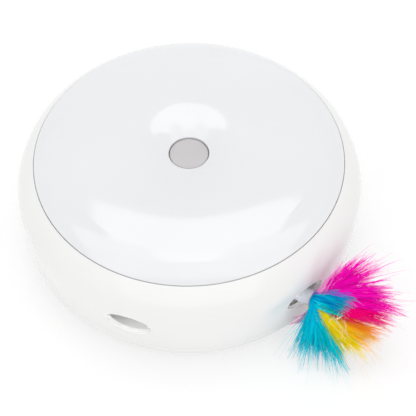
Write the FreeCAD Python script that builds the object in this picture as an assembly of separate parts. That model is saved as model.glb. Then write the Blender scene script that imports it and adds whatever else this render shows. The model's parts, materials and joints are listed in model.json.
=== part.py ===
"""Automatic pop-out feather toy for cats.

A round housing with six windows in its side. One gear motor drives a rack that pushes a feather
on an arm out of a window. The rack is guided on a turntable, which a pawl holds at a window.
Frame: origin on the surface that the toy stands on, at the housing's axis, +Z up, millimetres.
Azimuths are in degrees about +Z, from -Y (the front) towards +X.
"""

import FreeCAD, Part
import math
import os

V = FreeCAD.Vector
UP = V(0, 0, 1)

# ---- housing -------------------------------------------------------------------------------
BODY_R = 90.0            # widest radius of the housing
WIDEST_Z = 36.5          # height of the widest ring
SEAM_R = 80.0            # where the lid meets the housing
SEAM_Z = 56.5
SIDE_ARC_R = 150.0       # large radius of the side below the widest ring
BASE_ROUND = 8.0         # round between the side and the underside
WALL = 2.4               # moulded wall of the housing
UNDERSIDE_Z = 1.6        # underside of the tray and of the housing
WINDOWS = 6
WINDOW_AZ = 40.0         # azimuth of the window that the feather comes out of
WINDOW_HALF_W = 11.4
WINDOW_HALF_H = 6.8
WINDOW_EDGE_ROUND = 0.4
LEDGE_W = 4.4            # width of the ledge that carries the lid
LEDGE_DEPTH = 1.6        # from the seam down to the ledge
LIP_ROUND = 0.15         # round of the housing's lip outside the seam
RIM_LAND = 1.0           # flat edge of the housing round its bottom opening

# ---- tray ----------------------------------------------------------------------------------
TRAY_T = 2.4
TRAY_GAP = 0.3           # between the tray's edge and the housing
FOOT_W = 3.4             # width of the rubber ring
FOOT_IN_TRAY = 0.8       # how deep the ring sits in the tray's rebate
FOOT_GAP = 0.1
CASE_SCREW_R = 66.0      # distance of the case screws from the axis
CASE_SCREW_AZ = (-35.0, 35.0, -115.0, 115.0)
CASE_POST_R = 3.4
CASE_POST_H = 13.0
REST_POST_R = 60.0       # distance of the turntable's rests from the axis
REST_POST_AZ = (0.0, 60.0, 120.0, 180.0, 240.0, 300.0)
REST_PIN_R = 2.6

REST_CROWN = 0.4         # round at the top of a rest
ROOT_IN = 0.2            # how deep a post's foot runs into the wall that carries it

# ---- screws --------------------------------------------------------------------------------
SCREW_R = 1.2
SCREW_HEAD_R = 2.3
SCREW_HEAD_H = 1.5
SCREW_GAP = 0.05         # radial clearance of a screw in its hole
HEAD_GAP = 0.2           # radial clearance of a sunk head
HEAD_PROUD = 0.3         # how far the heads of the case screws stand out
CASE_SCREW_SHORT = 6.0   # from the case screws' ends to the tops of their posts

# ---- battery bay ---------------------------------------------------------------------------
CELL_R = 7.1             # AA cells
CELL_LEN = 49.2
CELL_NUB_R = 2.7
CELL_NUB_H = 1.3
CELL_COUNT = 3
CELL_GAP = 0.3           # between neighbouring cells
BAY_WALL = 1.5
BAY_SIDE_GAP = 0.3
BAY_ROOF_GAP = 0.4
SPRING_ROOM = 7.8        # the bay is this much longer than a cell without its nub
BAY_TO_GEAR = 3.0        # between the bay's wall and the drive gear
DOOR_T = 1.8
DOOR_GAP = 0.3
DOOR_PIP_R = 0.6
DOOR_PIP_LEN = 1.0
DOOR_PIP_GAP = 0.08
CELL_OVER_DOOR = 0.4
GRIP_COUNT = 5           # finger grooves in the door
GRIP_PITCH = 1.8
GRIP_HALF_LEN = 9.0
GRIP_HALF_W = 0.5
GRIP_IN = 5.0            # from the door's free edge to the first groove
CONTACT_T = 0.5
CONTACT_W = 11.0
CONTACT_GAP = 0.1        # behind a contact plate, and between the plate and a cell's nub
TAB_W = 3.0              # the tab that a lead is soldered to
TAB_LEN = 4.0
TAB_Z = 4.0              # height of the tabs over the cells' axes
TAB_GAP = 0.2
CONTACT_LOW = 5.0        # from the cells' axes to the lower and upper edges of the contact plates
CONTACT_HIGH = 6.0
CELL_EDGE_ROUND = 0.6
SPRING_WIRE_R = 0.35
CELL_SPRING_R = 4.2
CELL_SPRING_TIP_R = 2.6
COIL_STEPS = 12          # straight stretches in a turn of a spring
COIL_SIDES = 5

# ---- centre column and gears ---------------------------------------------------------------
COLUMN_R = 5.0
COLUMN_WALL = 1.6
COLUMN_OVER_ARM = 8.3    # how far the column stands above the feather arm
COLUMN_BOSS_WALL = 2.9
SOCKET_GAP = 0.1
RUNNING_GAP = 0.08       # radial clearance of a part that turns on the column
THRUST_GAP = 0.2         # axial clearance between stacked parts
DRIVE_Z = 13.0           # underside of the drive gear
DRIVE_T = 4.5
DRIVE_MODULE = 1.0
DRIVE_TEETH = 36
PINION_TEETH = 12
RACK_MODULE = 1.25
RACK_GEAR_TEETH = 40
HUB_WALL = 3.0
PRESSURE_ANGLE = 25.0
ADDENDUM = 0.8           # in modules
DEDENDUM = 1.05
BACKLASH = 0.3           # taken from each tooth's thickness
SHAFT_R = 1.5
SPRING_WASHER_H = 1.4
CLIP_OUT = 2.4           # how far the retaining clip stands out of the column
CLIP_T = 1.0
CLIP_HALF_SLOT = 1.6
GEAR_HOLES = 6
GEAR_HOLE_R = 3.2

# ---- leads ---------------------------------------------------------------------------------
LEAD_R = 0.6
LEAD_PITCH = 1.5         # between neighbouring leads
LEAD_Z = 6.2             # height of the lower leads, which run under the drive gear

# ---- turntable -----------------------------------------------------------------------------
TABLE_OVER_BAY = 1.6     # from the bay's roof to the underside of the turntable
TABLE_T = 2.0
TABLE_R = 72.0
BUSH_WALL = 2.0
NOTCH_W = 12.2
NOTCH_DEPTH = 3.4
PAWL_AZ = -50.0
PAWL_OUT = 4.4           # from the turntable's edge to the pawl's pivot
PAWL_POST_R = 2.2
PAWL_PIN_R = 1.0
PAWL_PIN_DEPTH = 6.0
PAWL_ARM = 14.0
PAWL_TOOTH_W = 3.0
PAWL_T = 3.0
PAWL_HUB_R = 3.0
PAWL_DROP = 0.2          # how far the pawl's underside lies below the turntable's
PAWL_SPRING_R = 1.7
PAWL_SPRING_WIRE_R = 0.28
PAWL_SPRING_H = 1.3
PIN_HEAD_R = 1.9
PIN_HEAD_T = 0.8
PIN_OVER_PAWL = 2.4
TABLE_RIM_T = 1.6
TABLE_RIM_H = 1.2
TABLE_RIM_IN = 1.0       # from the notches to the raised rim
INNER_RIM_T = 2.2
INNER_RIM_H = 0.8
SLOT_HALF_W = 11.0       # openings that lighten the turntable
SLOT_INNER = 0.52        # as shares of its radius
SLOT_OUTER = 0.74

# ---- feather arm ---------------------------------------------------------------------------
ARM_OUT = 6.2            # from the rack's pitch line to the arm's centre line
ARM_HALF_W = 4.0
ARM_H = 8.0
ARM_FLOOR = 2.0          # from the turntable to the underside of the arm
STROKE = 62.0
RACK_END = 8.0           # rack left over past the gear at each end of the stroke
GUIDE_TAIL = -45.0       # the arm's stations are measured from its nearest point to the axis
GUIDE_NOSE = 22.0
GUIDE_WALL = 1.8
GUIDE_GAP = 0.25
GUIDE_COVER_T = 1.5
EAR_R = 3.0
EAR_OUT = 2.8            # from the guide's wall to the screws of its cover
EAR_IN = 6.0             # from the guide's ends to them
GEAR_WINDOW_GAP = 0.8    # between the rack gear's tips and the guide
GUIDE_SCREW_LEN = 7.0
RACK_POCKET_END = 8.0    # walls round the hollow in the top of the rack
RACK_POCKET_WALL = 2.0
RACK_POCKET_DEPTH = 2.5
PLUG_GAP = 0.1           # clearance of the parts pushed into the sleeve
SLEEVE_BEVEL = 0.5
SLEEVE_R = 4.0
SLEEVE_WALL = 1.5
SLEEVE_OUT = 5.6         # how far the sleeve stands out of the housing
SPIGOT_LEN = 8.0
COLLAR_LIP = 0.25        # how far the collar stands out over the sleeve
COLLAR_LEN = 2.5
COLLAR_BEVEL = 0.8
COLLAR_PLUG_LEN = 7.0    # the part of the collar inside the sleeve
TUFT_R = 27.0
TUFT_LEN = 40.0
TUFT_TIP_R = 2.0
TUFT_GAP = 0.2

# ---- lid and button ------------------------------------------------------------------------
LID_T = 2.2
LID_GAP = 0.3            # the dark line of the seam
LID_SEAT_GAP = 0.2       # between the lid's edge and the ledge
LID_EDGE_ROUND = 0.2
LID_CREST_R = 37.0
LID_RISE = 8.4           # from the seam to the crest
LID_DISH_ARC_R = 62.0
LID_OUTER_ARC_R = 165.0
LID_RIM_R = 65.0         # where the lid starts to turn down to its edge
LID_RIM_ARC_R = 40.0
LID_SKIRT_DEPTH = 4.2
LID_SKIRT_W = 1.8
LID_RIB_T = 1.4
LID_RIB_IN = 1.0         # how deep the ribs run into the lid's wall
LID_SKIRT_GAP = 0.4
LID_HOLE_ROUND = 0.7
LID_HOLE_WALL = 1.8      # collar round the button's hole
BUTTON_R = 10.0
BUTTON_GAP = 0.4
BUTTON_RISE = 2.0        # from the seam to the button's edge
BUTTON_FLANGE_W = 2.0
BUTTON_TRAVEL = 1.0
BUTTON_WALL = 1.6
BUTTON_CROWN = 0.3       # from the button's edge to its middle
BUTTON_STEM_R = 2.2
BUTTON_SPRING_WIRE_R = 0.4
BUTTON_SPRING_OUT = 0.2
GUIDE_RING_T = 1.5
GUIDE_FOOT_T = 1.4
GUIDE_TO_FLANGE = 0.4    # from the ring's top to the flange's
PCB_MARGIN = 14.0        # width of the board outside the button's flange
PCB_T = 1.6
CARRIER_T = 1.8
STANDOFF = 2.6           # from the underside of the carrier to the board
GUIDE_FOOT_W = 4.2

# ---- board and switch ----------------------------------------------------------------------
BOARD_GAP = 0.05         # under the parts that are soldered to the board
SWITCH_HALF_W = 3.1
SWITCH_H = 3.4
SWITCH_BORE_R = 1.8
PLUNGER_R = 1.7
PLUNGER_TOP = 4.6        # height of the plunger's end over the board
PLUNGER_GAP = 0.1        # from the plunger to the button's stem
BOARD_SCREW_IN = 3.2     # from the board's edge to its screws
BOARD_SCREW_AZ = (20, 140, 260)
BOARD_SCREW_LEN = 3.2
STANDOFF_R = 2.6
CHIP_SIZE = (9.0, 5.5, 1.6)
DRIVER_SIZE = (5.0, 4.9, 1.4)
CAPACITOR_R = 2.5
CAPACITOR_H = 6.0
CAPACITOR_AZ = 110
LED_R = 1.5
LED_H = 2.6              # height of the straight part of the lens
LED_AZ = -72
PARTS_OUT = 1.2          # from the guide's foot to the nearest parts

# ---- motor ---------------------------------------------------------------------------------
MOTOR_LEN = 25.0
MOTOR_W = 20.0
MOTOR_H = 15.0
MOTOR_IN = 4.0           # from the pinion's axis to the motor's, along Y
ENDCAP_LEN = 4.0
ENDCAP_STEP = 0.8        # how far the end cap stands in from the can
BEARING_R = 3.0
BEARING_LEN = 1.6
GEARBOX_GAP = 0.8        # between the gearbox and the drive gear
GEARBOX_SEAT_GAP = 0.2
GEARBOX_OUTER = 14.0     # from the pinion's axis to the gearbox's two ends, along Y
GEARBOX_INNER = 10.0
GEARBOX_SIDE_X = 12.0    # side of the gearbox away from the motor
GEARBOX_ROUND = 2.5
TOWER_T = 5.5            # the gearbox's tall end, which carries the motor
TOWER_OVER_MOTOR = 6.0   # from the motor's axis to the top of the tall end
TOWER_TO_GEAR = 3.5      # from the pinion's axis to the tall end's inner edge
LUG_X = 15.0
LUG_R = 3.2
LUG_T = 2.4
LUG_IN = 5.0             # from the gearbox's outer end to the lug's screw
STRAP_W = 7.0
STRAP_T = 1.4
STRAP_GAP = 0.2          # between the strap and the motor
STRAP_FROM_BOX = 13.75   # from the gearbox to the strap's far edge
STRAP_FOOT = 8.0         # length of the strap's feet
STRAP_SCREW_OUT = 4.9    # from the motor's side to the strap's screws


# ---- worked out from the values above ------------------------------------------------------
SHOULDER_R = ((SEAM_Z - WIDEST_Z) ** 2 + (BODY_R - SEAM_R) ** 2) / (2 * (BODY_R - SEAM_R))
LID_LEDGE_R = SEAM_R - LEDGE_W
LEDGE_Z = SEAM_Z - LEDGE_DEPTH
LIP_ANGLE = math.asin((SEAM_Z - WIDEST_Z) / SHOULDER_R)      # between the groove and the side
LIP_REACH = LIP_ROUND / math.tan(LIP_ANGLE / 2)              # from the lip's sharp corner to its round
LIP_END_Z = SEAM_Z - LIP_REACH * math.cos(LIP_ANGLE)
LID_CREST_Z = SEAM_Z + LID_RISE
LID_OUTER_DROP = LID_OUTER_ARC_R - math.sqrt(LID_OUTER_ARC_R ** 2 - (LID_RIM_R - LID_CREST_R) ** 2)
LID_RIM_SHARE = LID_RIM_ARC_R / LID_OUTER_ARC_R
LID_RIM_ARC_MIDDLE = LID_RIM_R - LID_RIM_SHARE * (LID_RIM_R - LID_CREST_R)
LID_RIM_ARC_Z = LID_CREST_Z - LID_OUTER_DROP - LID_RIM_SHARE * (LID_OUTER_ARC_R - LID_OUTER_DROP)
LID_ARCS = (             # outer radius of each stretch, its arc's centre (r, z) and its arc's radius
    (LID_CREST_R, LID_CREST_R, LID_CREST_Z - LID_DISH_ARC_R, LID_DISH_ARC_R),
    (LID_RIM_R, LID_CREST_R, LID_CREST_Z - LID_OUTER_ARC_R, LID_OUTER_ARC_R),
    (SEAM_R, LID_RIM_ARC_MIDDLE, LID_RIM_ARC_Z, LID_RIM_ARC_R),
)
FLOOR_Z = UNDERSIDE_Z + TRAY_T
CASE_POST_TOP = FLOOR_Z + CASE_POST_H

DRIVE_PITCH_R = DRIVE_MODULE * DRIVE_TEETH / 2
DRIVE_TIP_R = DRIVE_PITCH_R + ADDENDUM * DRIVE_MODULE
PINION_PITCH_R = DRIVE_MODULE * PINION_TEETH / 2
PINION_Y = -(DRIVE_PITCH_R + PINION_PITCH_R)
RACK_GEAR_R = RACK_MODULE * RACK_GEAR_TEETH / 2
RACK_ROOT = RACK_GEAR_R + DEDENDUM * RACK_MODULE
RACK_TIP = RACK_GEAR_R - ADDENDUM * RACK_MODULE

CELL_PITCH = 2 * CELL_R + CELL_GAP
CELL_Z = UNDERSIDE_Z + DOOR_T + CELL_OVER_DOOR + CELL_R
BAY_HALF_LEN = (CELL_LEN + SPRING_ROOM) / 2
BAY_HALF_W = (CELL_COUNT - 1) / 2 * CELL_PITCH + CELL_R + BAY_SIDE_GAP
BAY_Y = DRIVE_TIP_R + BAY_TO_GEAR + BAY_WALL + BAY_HALF_W
BAY_ROOF_Z = CELL_Z + CELL_R + BAY_ROOF_GAP
BAY_TOP = BAY_ROOF_Z + BAY_WALL
CONTACT_X = BAY_HALF_LEN - CONTACT_GAP
DOOR_PIVOT_Y = BAY_Y - BAY_HALF_W + DOOR_GAP + DOOR_T / 2
DOOR_PIVOT_Z = UNDERSIDE_Z + DOOR_T / 2

TABLE_Z = BAY_TOP + TABLE_OVER_BAY
TABLE_TOP = TABLE_Z + TABLE_T
PAWL_PIVOT_R = TABLE_R + PAWL_OUT
ARM_Z = TABLE_TOP + ARM_FLOOR
ARM_TOP = ARM_Z + ARM_H
WINDOW_Z = ARM_Z + ARM_H / 2
ARM_OFFSET = RACK_GEAR_R + ARM_OUT
ARM_AZ = WINDOW_AZ + math.degrees(math.asin(ARM_OFFSET / BODY_R))
RACK_BACK = ARM_OFFSET + ARM_HALF_W
RACK_TAIL = -RACK_END
RACK_NOSE = STROKE + RACK_END
GEAR_WINDOW_R = RACK_GEAR_R + ADDENDUM * RACK_MODULE + GEAR_WINDOW_GAP
RACK_GEAR_Z = ARM_Z + 0.7
RACK_GEAR_T = ARM_H - 1.4
SLEEVE_BORE_R = SLEEVE_R - SLEEVE_WALL
SLEEVE_NOSE = math.sqrt(BODY_R ** 2 - ARM_OFFSET ** 2) + SLEEVE_OUT
COLLAR_R = SLEEVE_R + COLLAR_LIP

COLUMN_BORE_R = COLUMN_R - COLUMN_WALL
COLUMN_BOSS_R = COLUMN_R + SOCKET_GAP + COLUMN_BOSS_WALL
COLUMN_TOP = ARM_TOP + COLUMN_OVER_ARM
HUB_R = COLUMN_R + HUB_WALL
HUB_TOP = TABLE_TOP + 1.1

BUTTON_TOP = SEAM_Z + BUTTON_RISE
BUTTON_FLANGE_R = BUTTON_R + BUTTON_FLANGE_W
FLANGE_TOP = SEAM_Z - 0.6
FLANGE_T = 1.2
PCB_R = BUTTON_FLANGE_R + PCB_MARGIN
CARRIER_Z = COLUMN_TOP + SOCKET_GAP
PCB_Z = CARRIER_Z + STANDOFF
PCB_TOP = PCB_Z + PCB_T
GUIDE_FOOT_R = BUTTON_FLANGE_R + GUIDE_GAP + GUIDE_FOOT_W

MOTOR_Z = FLOOR_Z + 0.5 + MOTOR_H / 2
GEARBOX_TOP = DRIVE_Z - GEARBOX_GAP
GEARBOX_X = -14.0        # face of the gearbox that the motor is fixed to


def polar(r, az, z):
    """The point at a distance from the axis, an azimuth and a height."""
    a = math.radians(az)
    return V(r * math.sin(a), -r * math.cos(a), z)


def wall_radius(z, inset=0.0):
    """Radius of the housing's side at a height, moved in by inset."""
    arc = SIDE_ARC_R if z < WIDEST_Z else SHOULDER_R
    return BODY_R - arc + math.sqrt((arc - inset) ** 2 - (z - WIDEST_Z) ** 2)


def lathe(start, *steps):
    """Turns an outline about the axis. A step is (r, z), or two of them for an arc through the first."""
    edges = []
    last = V(start[0], 0, start[1])
    for step in steps + (start,):
        if isinstance(step[0], tuple):
            middle, end = (V(r, 0, z) for r, z in step)
            edges.append(Part.Arc(last, middle, end).toShape())
        else:
            end = V(step[0], 0, step[1])
            edges.append(Part.makeLine(last, end))
        last = end
    return Part.Face(Part.Wire(edges)).revolve(V(0, 0, 0), UP, 360)


def disc(r, z0, z1, x=0.0, y=0.0):
    return Part.makeCylinder(r, z1 - z0, V(x, y, z0))


def ring(outer, inner, z0, z1, x=0.0, y=0.0):
    return disc(outer, z0, z1, x, y).cut(disc(inner, z0 - 1, z1 + 1, x, y))


def box(x0, x1, y0, y1, z0, z1):
    return Part.makeBox(x1 - x0, y1 - y0, z1 - z0, V(x0, y0, z0))


def joined(shapes):
    """One shape from touching or overlapping ones, without the seams between their flat faces."""
    return shapes[0].fuse(shapes[1:]).removeSplitter() if len(shapes) > 1 else shapes[0]


def grown(block, gap):
    """A box that is larger by a gap on every side."""
    b = block.BoundBox
    return box(b.XMin - gap, b.XMax + gap, b.YMin - gap, b.YMax + gap, b.ZMin - gap, b.ZMax + gap)


def turned(shape, az):
    """A copy turned about the axis by an azimuth."""
    copy = shape.copy()
    copy.rotate(V(0, 0, 0), UP, az)
    return copy


def coil(mean_r, wire_r, height, turns, tip_r=None):
    """A wire spring along +Z from the origin, with flat-sided wire. tip_r makes it conical."""
    steps = round(turns * COIL_STEPS)
    sections = []
    for k in range(steps + 1):
        share = k / steps
        angle = 2 * math.pi * turns * share
        out = V(math.cos(angle), math.sin(angle), 0)
        middle = out * (mean_r + ((tip_r or mean_r) - mean_r) * share) + UP * (height * share)
        around = [2 * math.pi * i / COIL_SIDES for i in range(COIL_SIDES)]
        circle = [out * (wire_r * math.cos(a)) + UP * (wire_r * math.sin(a)) for a in around]
        sections.append([middle + spoke for spoke in circle])
    corners = []
    for low, high in zip(sections, sections[1:]):
        for i in range(COIL_SIDES):
            j = (i + 1) % COIL_SIDES
            corners += [(low[i], low[j], high[i]), (high[i], low[j], high[j])]
    for end in (sections[0], sections[-1]):
        corners += [(end[0], end[i], end[i + 1]) for i in range(1, COIL_SIDES - 1)]
    faces = [Part.Face(Part.makePolygon(list(c) + [c[0]])) for c in corners]
    shell = Part.makeShell(faces)
    shell.sewShape()
    solid = Part.makeSolid(shell)
    if solid.Volume < 0:
        solid.reverse()
    return solid


def lead(points, r):
    """A wire along straight runs, with an arc at each point as large as its two runs allow."""
    edges = []
    last = points[0]
    for before, corner, after in zip(points, points[1:], points[2:]):
        back, on = before - corner, after - corner
        cut = 0.45 * min(back.Length, on.Length)
        back, on = back * (1 / back.Length), on * (1 / on.Length)
        half = back.getAngle(on) / 2
        inward = (back + on) * (1 / (back + on).Length)
        middle = corner + inward * (cut / math.cos(half) - cut * math.tan(half))
        start, end = corner + back * cut, corner + on * cut
        edges += [Part.makeLine(last, start), Part.Arc(start, middle, end).toShape()]
        last = end
    edges.append(Part.makeLine(last, points[-1]))
    section = Part.Wire(Part.makeCircle(r, points[0], points[1] - points[0]))
    return Part.Wire(edges).makePipeShell([section], True, True)


def screw(length):
    """A pan-head screw: the head's top at the origin, the shank down along -Z."""
    head = Part.makeCylinder(SCREW_HEAD_R, SCREW_HEAD_H, V(0, 0, -SCREW_HEAD_H))
    crown = [e for e in head.Edges if abs(e.BoundBox.ZMin) < 1e-6 and e.Closed]
    head = head.makeFillet(0.6, crown[:1])
    shank = Part.makeCylinder(SCREW_R, length, V(0, 0, -SCREW_HEAD_H - length))
    slot = box(-SCREW_HEAD_R * 0.7, SCREW_HEAD_R * 0.7, -0.3, 0.3, -0.6, 1)
    cross = turned(slot, 90)
    return joined([head, shank]).cut(slot).cut(cross)


def placed(shape, point, axis=UP):
    """A copy whose +Z lies along axis and whose origin lies at point."""
    copy = shape.copy()
    turn = FreeCAD.Rotation(UP, axis)
    copy.Placement = FreeCAD.Placement(point, turn).multiply(copy.Placement)
    return copy


# ---- gears ---------------------------------------------------------------------------------
def tooth_half_angle(r, pitch_r, base_r, half_at_pitch):
    """Half the angle that an involute tooth takes at radius r."""
    def involute(radius):
        if radius <= base_r:
            return 0.0
        a = math.acos(base_r / radius)
        return math.tan(a) - a
    return half_at_pitch + involute(pitch_r) - involute(r)


def gear(module, teeth, z0, z1, first_angle):
    """A spur gear about the origin with one tooth's middle at first_angle, in degrees from +X."""
    pitch_r = module * teeth / 2
    base_r = pitch_r * math.cos(math.radians(PRESSURE_ANGLE))
    tip_r = pitch_r + ADDENDUM * module
    root_r = pitch_r - DEDENDUM * module
    half = (math.pi * module - BACKLASH) / 2 / (2 * pitch_r)
    start_r = max(root_r, base_r)
    flank = [start_r + (tip_r - start_r) * k / 3 for k in range(4)]
    radii = ([root_r] if root_r < base_r else []) + flank
    points = []
    for k in range(teeth):
        middle = math.radians(first_angle) + 2 * math.pi * k / teeth
        sides = [(r, tooth_half_angle(r, pitch_r, base_r, half)) for r in radii]
        for r, a in [(r, -a) for r, a in sides] + [(r, a) for r, a in reversed(sides)]:
            points.append(V(r * math.cos(middle + a), r * math.sin(middle + a), z0))
    return Part.Face(Part.makePolygon(points + points[:1])).extrude(V(0, 0, z1 - z0))


def rack(z0, z1):
    """The toothed bar in the arm's own frame: +X along the stroke, +Y away from the axis."""
    pitch = math.pi * RACK_MODULE
    lean = math.tan(math.radians(PRESSURE_ANGLE))
    half_at_pitch = (pitch - BACKLASH) / 4
    rise, fall = RACK_GEAR_R - RACK_TIP, RACK_ROOT - RACK_GEAR_R
    points = [V(RACK_NOSE, RACK_BACK, z0), V(RACK_TAIL, RACK_BACK, z0), V(RACK_TAIL, RACK_ROOT, z0)]
    first = math.ceil((RACK_TAIL + pitch / 2) / pitch - 0.5)
    last = math.floor((RACK_NOSE - pitch / 2) / pitch - 0.5)
    for k in range(first, last + 1):
        middle = (k + 0.5) * pitch
        foot, tip = half_at_pitch + fall * lean, half_at_pitch - rise * lean
        points += [V(middle - foot, RACK_ROOT, z0), V(middle - tip, RACK_TIP, z0)]
        points += [V(middle + tip, RACK_TIP, z0), V(middle + foot, RACK_ROOT, z0)]
    points += [V(RACK_NOSE, RACK_ROOT, z0)]
    return Part.Face(Part.makePolygon(points + points[:1])).extrude(V(0, 0, z1 - z0))


def to_arm(shape):
    """Turns a shape from the arm's own frame into the toy's."""
    flipped = shape.mirror(V(0, 0, 0), V(0, 1, 0))
    return turned(flipped, ARM_AZ - 90)


# ---- housing -------------------------------------------------------------------------------
def foot_edge_radius():
    return wall_radius(UNDERSIDE_Z + BASE_ROUND) - BASE_ROUND


def opening_radius():
    """The round opening in the housing's underside, which the tray closes."""
    return foot_edge_radius() - RIM_LAND


def side_arc(z_from, z_to, inset):
    middle = (z_from + z_to) / 2
    return ((wall_radius(middle, inset), middle), (wall_radius(z_to, inset), z_to))


def base_round(inset, upward):
    """The round at the foot of the side, as a step of an outline."""
    centre_r, centre_z = foot_edge_radius(), UNDERSIDE_Z + BASE_ROUND
    r = BASE_ROUND - inset
    middle = (centre_r + r * math.sin(math.pi / 4), centre_z - r * math.cos(math.pi / 4))
    end = (wall_radius(centre_z, inset), centre_z) if upward else (centre_r, centre_z - r)
    return (middle, end)


def window_cut(az):
    """An oval that runs out through the side at an azimuth."""
    oval = Part.Ellipse(V(0, 0, 0), WINDOW_HALF_W, WINDOW_HALF_H).toShape()
    cut = Part.Face(Part.Wire(oval)).extrude(V(0, 0, 0.4 * BODY_R))
    cut.rotate(V(0, 0, 0), V(1, 0, 0), 90)
    cut.translate(V(0, -0.7 * BODY_R, WINDOW_Z))
    return turned(cut, az)


def window_rims(shell):
    """The outer edges of the windows."""
    rims = []
    for edge in shell.Edges:
        points = edge.discretize(9)
        on_side = all(abs(math.hypot(p.x, p.y) - wall_radius(p.z)) < 0.01 for p in points)
        if on_side and all(abs(p.z - WINDOW_Z) < WINDOW_HALF_H + 0.1 for p in points):
            rims.append(edge)
    return rims


def case_post(az):
    """A screw post with the gusset that joins it to the housing's side."""
    x, y = polar(CASE_SCREW_R, az, 0)[:2]
    foot = FLOOR_Z + THRUST_GAP
    post = disc(CASE_POST_R, foot, CASE_POST_TOP, x, y)
    gusset = box(-WALL / 2, WALL / 2, -BODY_R, -CASE_SCREW_R, foot + BASE_ROUND / 2, CASE_POST_TOP)
    return joined([post, turned(gusset, az)])


def lip_round():
    """The round over the housing's lip, from the groove of the seam out to the side."""
    to_corner = math.hypot(LIP_ROUND, LIP_REACH)
    middle_r = SEAM_R + LIP_ROUND * (1 - LIP_ROUND / to_corner)
    middle_z = SEAM_Z - LIP_REACH * (1 - LIP_ROUND / to_corner)
    return ((middle_r, middle_z), (wall_radius(LIP_END_Z), LIP_END_Z))


def body_shell():
    corner_z = UNDERSIDE_Z + BASE_ROUND
    under_z = LEDGE_Z - WALL
    bottom = opening_radius()
    shell = lathe(
        (bottom, UNDERSIDE_Z),
        (bottom, UNDERSIDE_Z + WALL),
        (foot_edge_radius(), UNDERSIDE_Z + WALL),
        base_round(WALL, True),
        side_arc(corner_z, WIDEST_Z, WALL),
        side_arc(WIDEST_Z, under_z, WALL),
        (LID_LEDGE_R, under_z),
        (LID_LEDGE_R, LEDGE_Z),
        (SEAM_R, LEDGE_Z),
        (SEAM_R, SEAM_Z - LIP_REACH),
        lip_round(),
        side_arc(LIP_END_Z, WIDEST_Z, 0),
        side_arc(WIDEST_Z, corner_z, 0),
        base_round(0, False),
    )
    for k in range(WINDOWS):
        shell = shell.cut(window_cut(WINDOW_AZ + 360 * k / WINDOWS))
    shell = shell.makeFillet(WINDOW_EDGE_ROUND, window_rims(shell))
    limit = lathe(
        (0, FLOOR_Z), (foot_edge_radius(), FLOOR_Z), base_round(WALL / 2, True),
        side_arc(corner_z, WIDEST_Z, WALL / 2), (0, WIDEST_Z),
    )
    posts = [case_post(az).common(limit) for az in CASE_SCREW_AZ]
    shell = joined([shell] + posts)
    for az in CASE_SCREW_AZ:
        x, y = polar(CASE_SCREW_R, az, 0)[:2]
        shell = shell.cut(disc(SCREW_R + SCREW_GAP, FLOOR_Z - 1, CASE_POST_TOP - 1.5, x, y))
    return shell


def foot_ring_radii():
    outer = opening_radius() - TRAY_GAP
    return outer, outer - FOOT_W


def anti_slip_ring():
    outer, inner = foot_ring_radii()
    top = UNDERSIDE_Z + FOOT_IN_TRAY
    foot = ring(outer, inner, 0, top)
    rims = [e for e in foot.Edges if e.BoundBox.ZMax < 1e-6]
    return foot.makeFillet(0.5, rims)


def battery_bay():
    """Walls and roof of the battery bay, which stand on the tray's floor."""
    y0, y1 = BAY_Y - BAY_HALF_W, BAY_Y + BAY_HALF_W
    end = BAY_HALF_LEN + BAY_WALL
    outside = box(-end, end, y0 - BAY_WALL, y1 + BAY_WALL, FLOOR_Z, BAY_TOP)
    uprights = [e for e in outside.Edges if e.BoundBox.ZLength > 1]
    outside = outside.makeFillet(BAY_WALL, uprights)
    bay = outside.cut(box(-BAY_HALF_LEN, BAY_HALF_LEN, y0, y1, UNDERSIDE_Z, BAY_ROOF_Z))
    for side, y in tab_places():
        x0, x1 = sorted((side * (BAY_HALF_LEN - 1), side * (end + 1)))
        slot = box(x0, x1, y - TAB_W / 2, y + TAB_W / 2, CELL_Z + TAB_Z, CELL_Z + TAB_Z + CONTACT_T)
        bay = bay.cut(grown(slot, TAB_GAP))
    return bay


def rest_posts():
    """Posts that the turntable glides on. One stands on the bay's roof."""
    posts = []
    for az in REST_POST_AZ:
        x, y = polar(REST_POST_R, az, 0)[:2]
        over_bay = abs(x) < BAY_HALF_LEN and abs(y - BAY_Y) < BAY_HALF_W
        top = TABLE_Z - THRUST_GAP
        post = disc(REST_PIN_R, (BAY_TOP if over_bay else FLOOR_Z) - ROOT_IN, top, x, y)
        crown = [e for e in post.Edges if e.BoundBox.ZMin > top - 1e-3]
        posts.append(post.makeFillet(REST_CROWN, crown[:1]))
    return posts


def wire_slot():
    """The slot at the foot of the column that the leads come in through."""
    half = LEAD_PITCH / 2 + LEAD_R + 0.3
    top = LEAD_Z + LEAD_PITCH + LEAD_R + 2.4
    return box(-COLUMN_BOSS_R - 1, 0, -half, half, LEAD_Z - LEAD_R - 0.4, top)


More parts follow.
